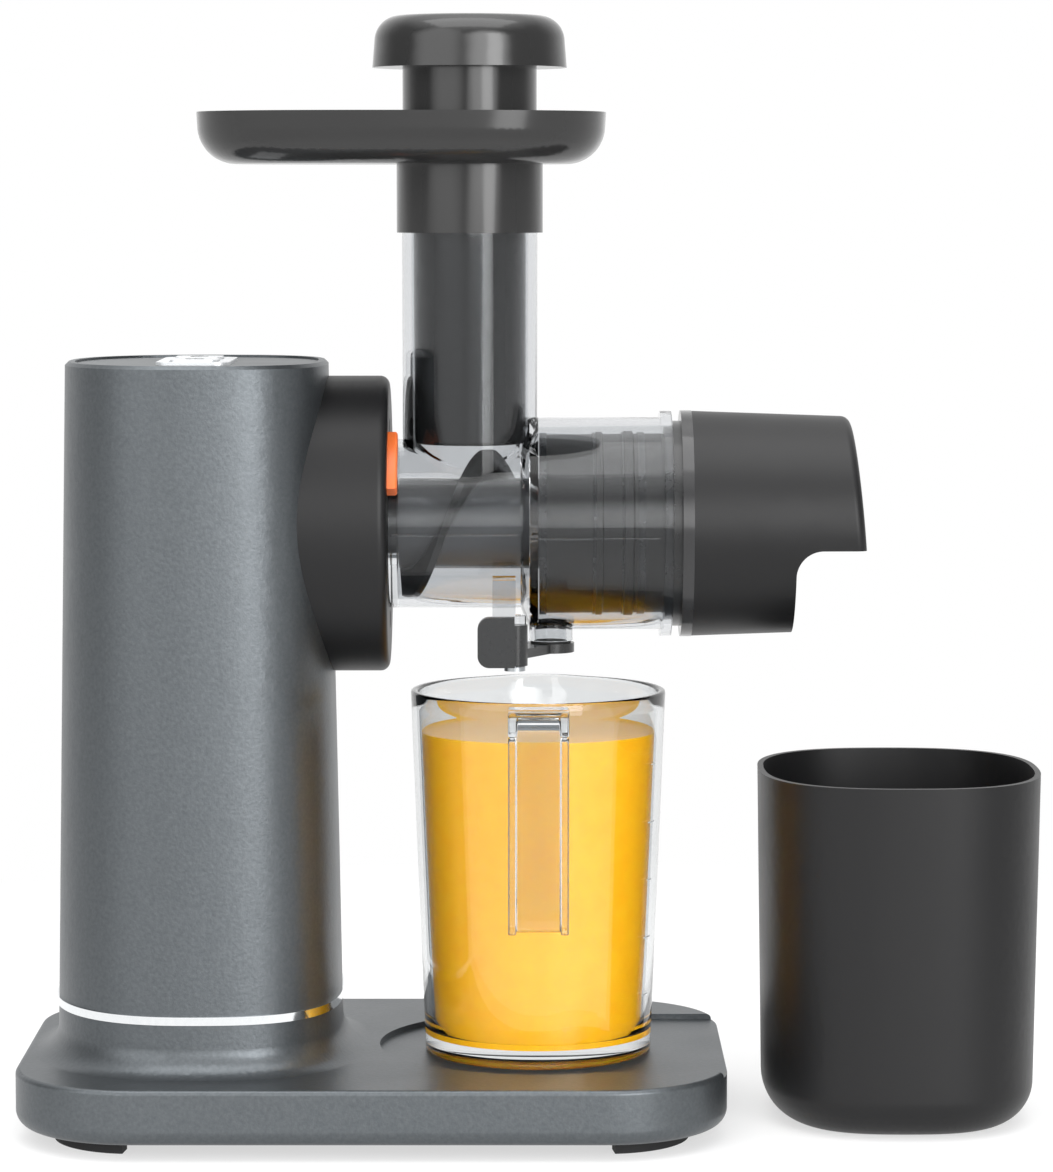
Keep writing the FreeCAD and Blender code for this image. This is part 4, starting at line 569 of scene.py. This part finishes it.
def start_mark():
    """A ring with a short bar, the common sign for on and off."""
    low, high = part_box("start_button")
    x, y, _ = middle(low, high)
    height = high[2] * MM_PER_M
    inside, outside = 2.6, 3.2
    piece = lathed([
        (inside, height), (inside, height + PRINT), (outside, height + PRINT), (outside, height),
    ], 48)
    edit(piece)
    opened(piece)
    bpy.ops.mesh.primitive_cube_add(
        size=0.001, location=(0, 0.0030, (height + PRINT / 2) / MM_PER_M), scale=(0.6, 2.6, PRINT)
    )
    bpy.ops.object.mode_set(mode="OBJECT")
    piece.location = (x, y, 0)
    settled(piece)
    hand_over(piece, "start_mark", print_ink, "start", "black_satin")


def reverse_mark():
    """A three-quarter turn with an arrow head, for running the screw backwards."""
    low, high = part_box("reverse_button")
    x, y, _ = middle(low, high)
    height = high[2]
    print_depth = PRINT / MM_PER_M
    radius, stroke, head = 0.0029, 0.0006, 0.0012
    bpy.ops.object.select_all(action="DESELECT")
    bpy.ops.mesh.primitive_plane_add(
        size=1.0, location=(radius, 0, height + print_depth / 2), rotation=(math.pi / 2, 0, 0)
    )
    piece = bpy.context.object
    piece.scale = (stroke, print_depth, 1)
    applied()
    edit(piece)
    bpy.ops.mesh.select_all(action="SELECT")
    bpy.ops.mesh.spin(
        steps=30, angle=math.radians(270), center=(0, 0, height), axis=(0, 0, 1)
    )
    bpy.ops.mesh.primitive_cylinder_add(
        vertices=3, radius=head, depth=print_depth,
        location=(0, radius, height + print_depth / 2), rotation=(0, 0, math.radians(30))
    )
    bpy.ops.object.mode_set(mode="OBJECT")
    piece.location = (x, y, 0)
    settled(piece)
    hand_over(piece, "reverse_mark", print_ink, "reverse", "black_satin")


jug()
jug_handle()
measuring_marks()
juice()
drum_screen()
chamber_low, chamber_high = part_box("juicing_chamber")
BARREL_LINE = (0.009, 0.052, 0.0289)      # start, end, and radius, from the chamber's left end
DRUM_LINE = (0.0565, 0.0045, 0.0364)      # start, rest at the right end, and radius
parting_line("barrel_parting_line", chamber_low[0] + BARREL_LINE[0],
             chamber_low[0] + BARREL_LINE[1], BARREL_LINE[2])
parting_line("drum_parting_line", chamber_low[0] + DRUM_LINE[0],
             chamber_high[0] - DRUM_LINE[1], DRUM_LINE[2])
start_mark()
reverse_mark()


# Studio: pale floor, white surround, soft lamps, and the camera of the photograph

def studio_floor():
    """White paper: seen almost white, with the object's soft shadow kept, and pure white
    far away."""
    bpy.ops.object.select_all(action="DESELECT")
    bpy.ops.mesh.primitive_plane_add(size=60.0, location=(0, 0, -0.0002))
    floor = bpy.context.object
    floor.name = "studio_floor"
    material, tree = new_material("white_paper")
    matt = add(tree, "ShaderNodeBsdfDiffuse")
    matt.inputs["Color"].default_value = linear("#F4F4F4")
    glow = add(tree, "ShaderNodeEmission", Strength=1.0)
    place = add(tree, "ShaderNodeTexCoord").outputs["Object"]
    distance = add(tree, "ShaderNodeVectorMath", [(0, place)], operation="LENGTH")
    far = add(tree, "ShaderNodeMapRange", [("Value", distance.outputs["Value"])],
              From_Min=0.20, From_Max=0.55, To_Min=0.62, To_Max=1.0)
    path = add(tree, "ShaderNodeLightPath")
    clear_ray = add(tree, "ShaderNodeMath", [
        (0, path.outputs["Is Camera Ray"]), (1, path.outputs["Is Transmission Ray"]),
    ], operation="MAXIMUM")
    direct = add(tree, "ShaderNodeMath", [
        (0, clear_ray.outputs[0]), (1, path.outputs["Is Glossy Ray"]),
    ], operation="MAXIMUM")
    share = add(tree, "ShaderNodeMath", [
        (0, far.outputs["Result"]), (1, direct.outputs[0]),
    ], operation="MULTIPLY")
    mixed = add(tree, "ShaderNodeMixShader", [
        (0, share.outputs[0]), (1, matt.outputs[0]), (2, glow.outputs[0]),
    ])
    add(tree, "ShaderNodeOutputMaterial", [("Surface", mixed.outputs[0])])
    floor.data.materials.append(material)


# Soft lights of the studio: direction, cosine at the edge and in the middle, brightness
LOBES = (
    ((0.38, -0.91, 0.15), 0.85, 0.985, 5.0),
    ((-0.60, -0.74, 0.25), 0.80, 0.97, 2.2),
    ((0.0, -0.15, 1.0), 0.55, 0.95, 1.6),
    ((0.0, 1.0, 0.1), 0.20, 0.80, 0.7),
)
AMBIENT = 0.34


def studio_world():
    """White to the camera and straight through clear plastic, and soft round lights for
    everything else."""
    world = bpy.data.worlds.new("studio")
    bpy.context.scene.world = world
    world.use_nodes = True
    tree = world.node_tree
    tree.nodes.clear()
    way = add(tree, "ShaderNodeTexCoord").outputs["Generated"]
    level = add(tree, "ShaderNodeValue").outputs[0]
    level.default_value = AMBIENT
    for direction, edge, centre, brightness in LOBES:
        nearness = add(tree, "ShaderNodeVectorMath", [(0, way)], operation="DOT_PRODUCT")
        nearness.inputs[1].default_value = Vector(direction).normalized()
        lobe = add(tree, "ShaderNodeMapRange", [("Value", nearness.outputs["Value"])],
                   interpolation_type="SMOOTHSTEP", From_Min=edge, From_Max=centre,
                   To_Min=0.0, To_Max=brightness)
        total = add(tree, "ShaderNodeMath", [(0, level), (1, lobe.outputs["Result"])],
                    operation="ADD")
        level = total.outputs[0]
    lights = add(tree, "ShaderNodeBackground", [("Strength", level)])
    lights.inputs["Color"].default_value = (1, 1, 1, 1)
    white = add(tree, "ShaderNodeBackground", Strength=1.0)
    white.inputs["Color"].default_value = (1, 1, 1, 1)
    path = add(tree, "ShaderNodeLightPath")
    bounced = add(tree, "ShaderNodeMath", [
        (0, path.outputs["Diffuse Depth"]), (1, path.outputs["Glossy Depth"]),
    ], operation="MAXIMUM")
    straight = add(tree, "ShaderNodeMath", [(0, bounced.outputs[0])], operation="LESS_THAN")
    straight.inputs[1].default_value = 0.5
    through = add(tree, "ShaderNodeMath", [
        (0, path.outputs["Is Transmission Ray"]), (1, straight.outputs[0]),
    ], operation="MULTIPLY")
    seen = add(tree, "ShaderNodeMath", [
        (0, path.outputs["Is Camera Ray"]), (1, through.outputs[0]),
    ], operation="MAXIMUM")
    mixed = add(tree, "ShaderNodeMixShader", [
        (0, seen.outputs[0]), (1, lights.outputs[0]), (2, white.outputs[0]),
    ])
    add(tree, "ShaderNodeOutputWorld", [("Surface", mixed.outputs[0])])


def softbox(name, place, aim, width, height, power):
    """A rectangular soft lamp, turned towards the point that it aims at."""
    light = bpy.data.lights.new(name, "AREA")
    light.shape = "RECTANGLE"
    light.size = width
    light.size_y = height
    light.energy = power
    lamp = bpy.data.objects.new(name, light)
    bpy.context.scene.collection.objects.link(lamp)
    lamp.location = place
    direction = Vector(aim) - Vector(place)
    lamp.rotation_euler = direction.to_track_quat("-Z", "Y").to_euler()


def photo_camera():
    """The photograph's camera: in front of the set, a little above it and looking slightly down."""
    beside_panel, before, above = 0.113, -1.4637, 0.31946        # metres
    tilt = 84.693            # degrees from looking straight down
    eye = bpy.data.cameras.new("photo_camera")
    eye.lens = 130.95
    eye.sensor_width = 36.0
    camera = bpy.data.objects.new("photo_camera", eye)
    bpy.context.scene.collection.objects.link(camera)
    camera.location = (panel_x + beside_panel, before, above)
    camera.rotation_euler = (math.radians(tilt), 0, 0)
    bpy.context.scene.camera = camera


studio_floor()
studio_world()
softbox("right_strip", (0.80, -1.35, 0.40), (-0.1, 0, 0.18), 0.5, 1.2, 7)
softbox("top_box", (0.0, -0.2, 1.30), (0, 0, 0.1), 1.2, 0.9, 7)
photo_camera()
bpy.context.scene.view_settings.view_transform = "Standard"
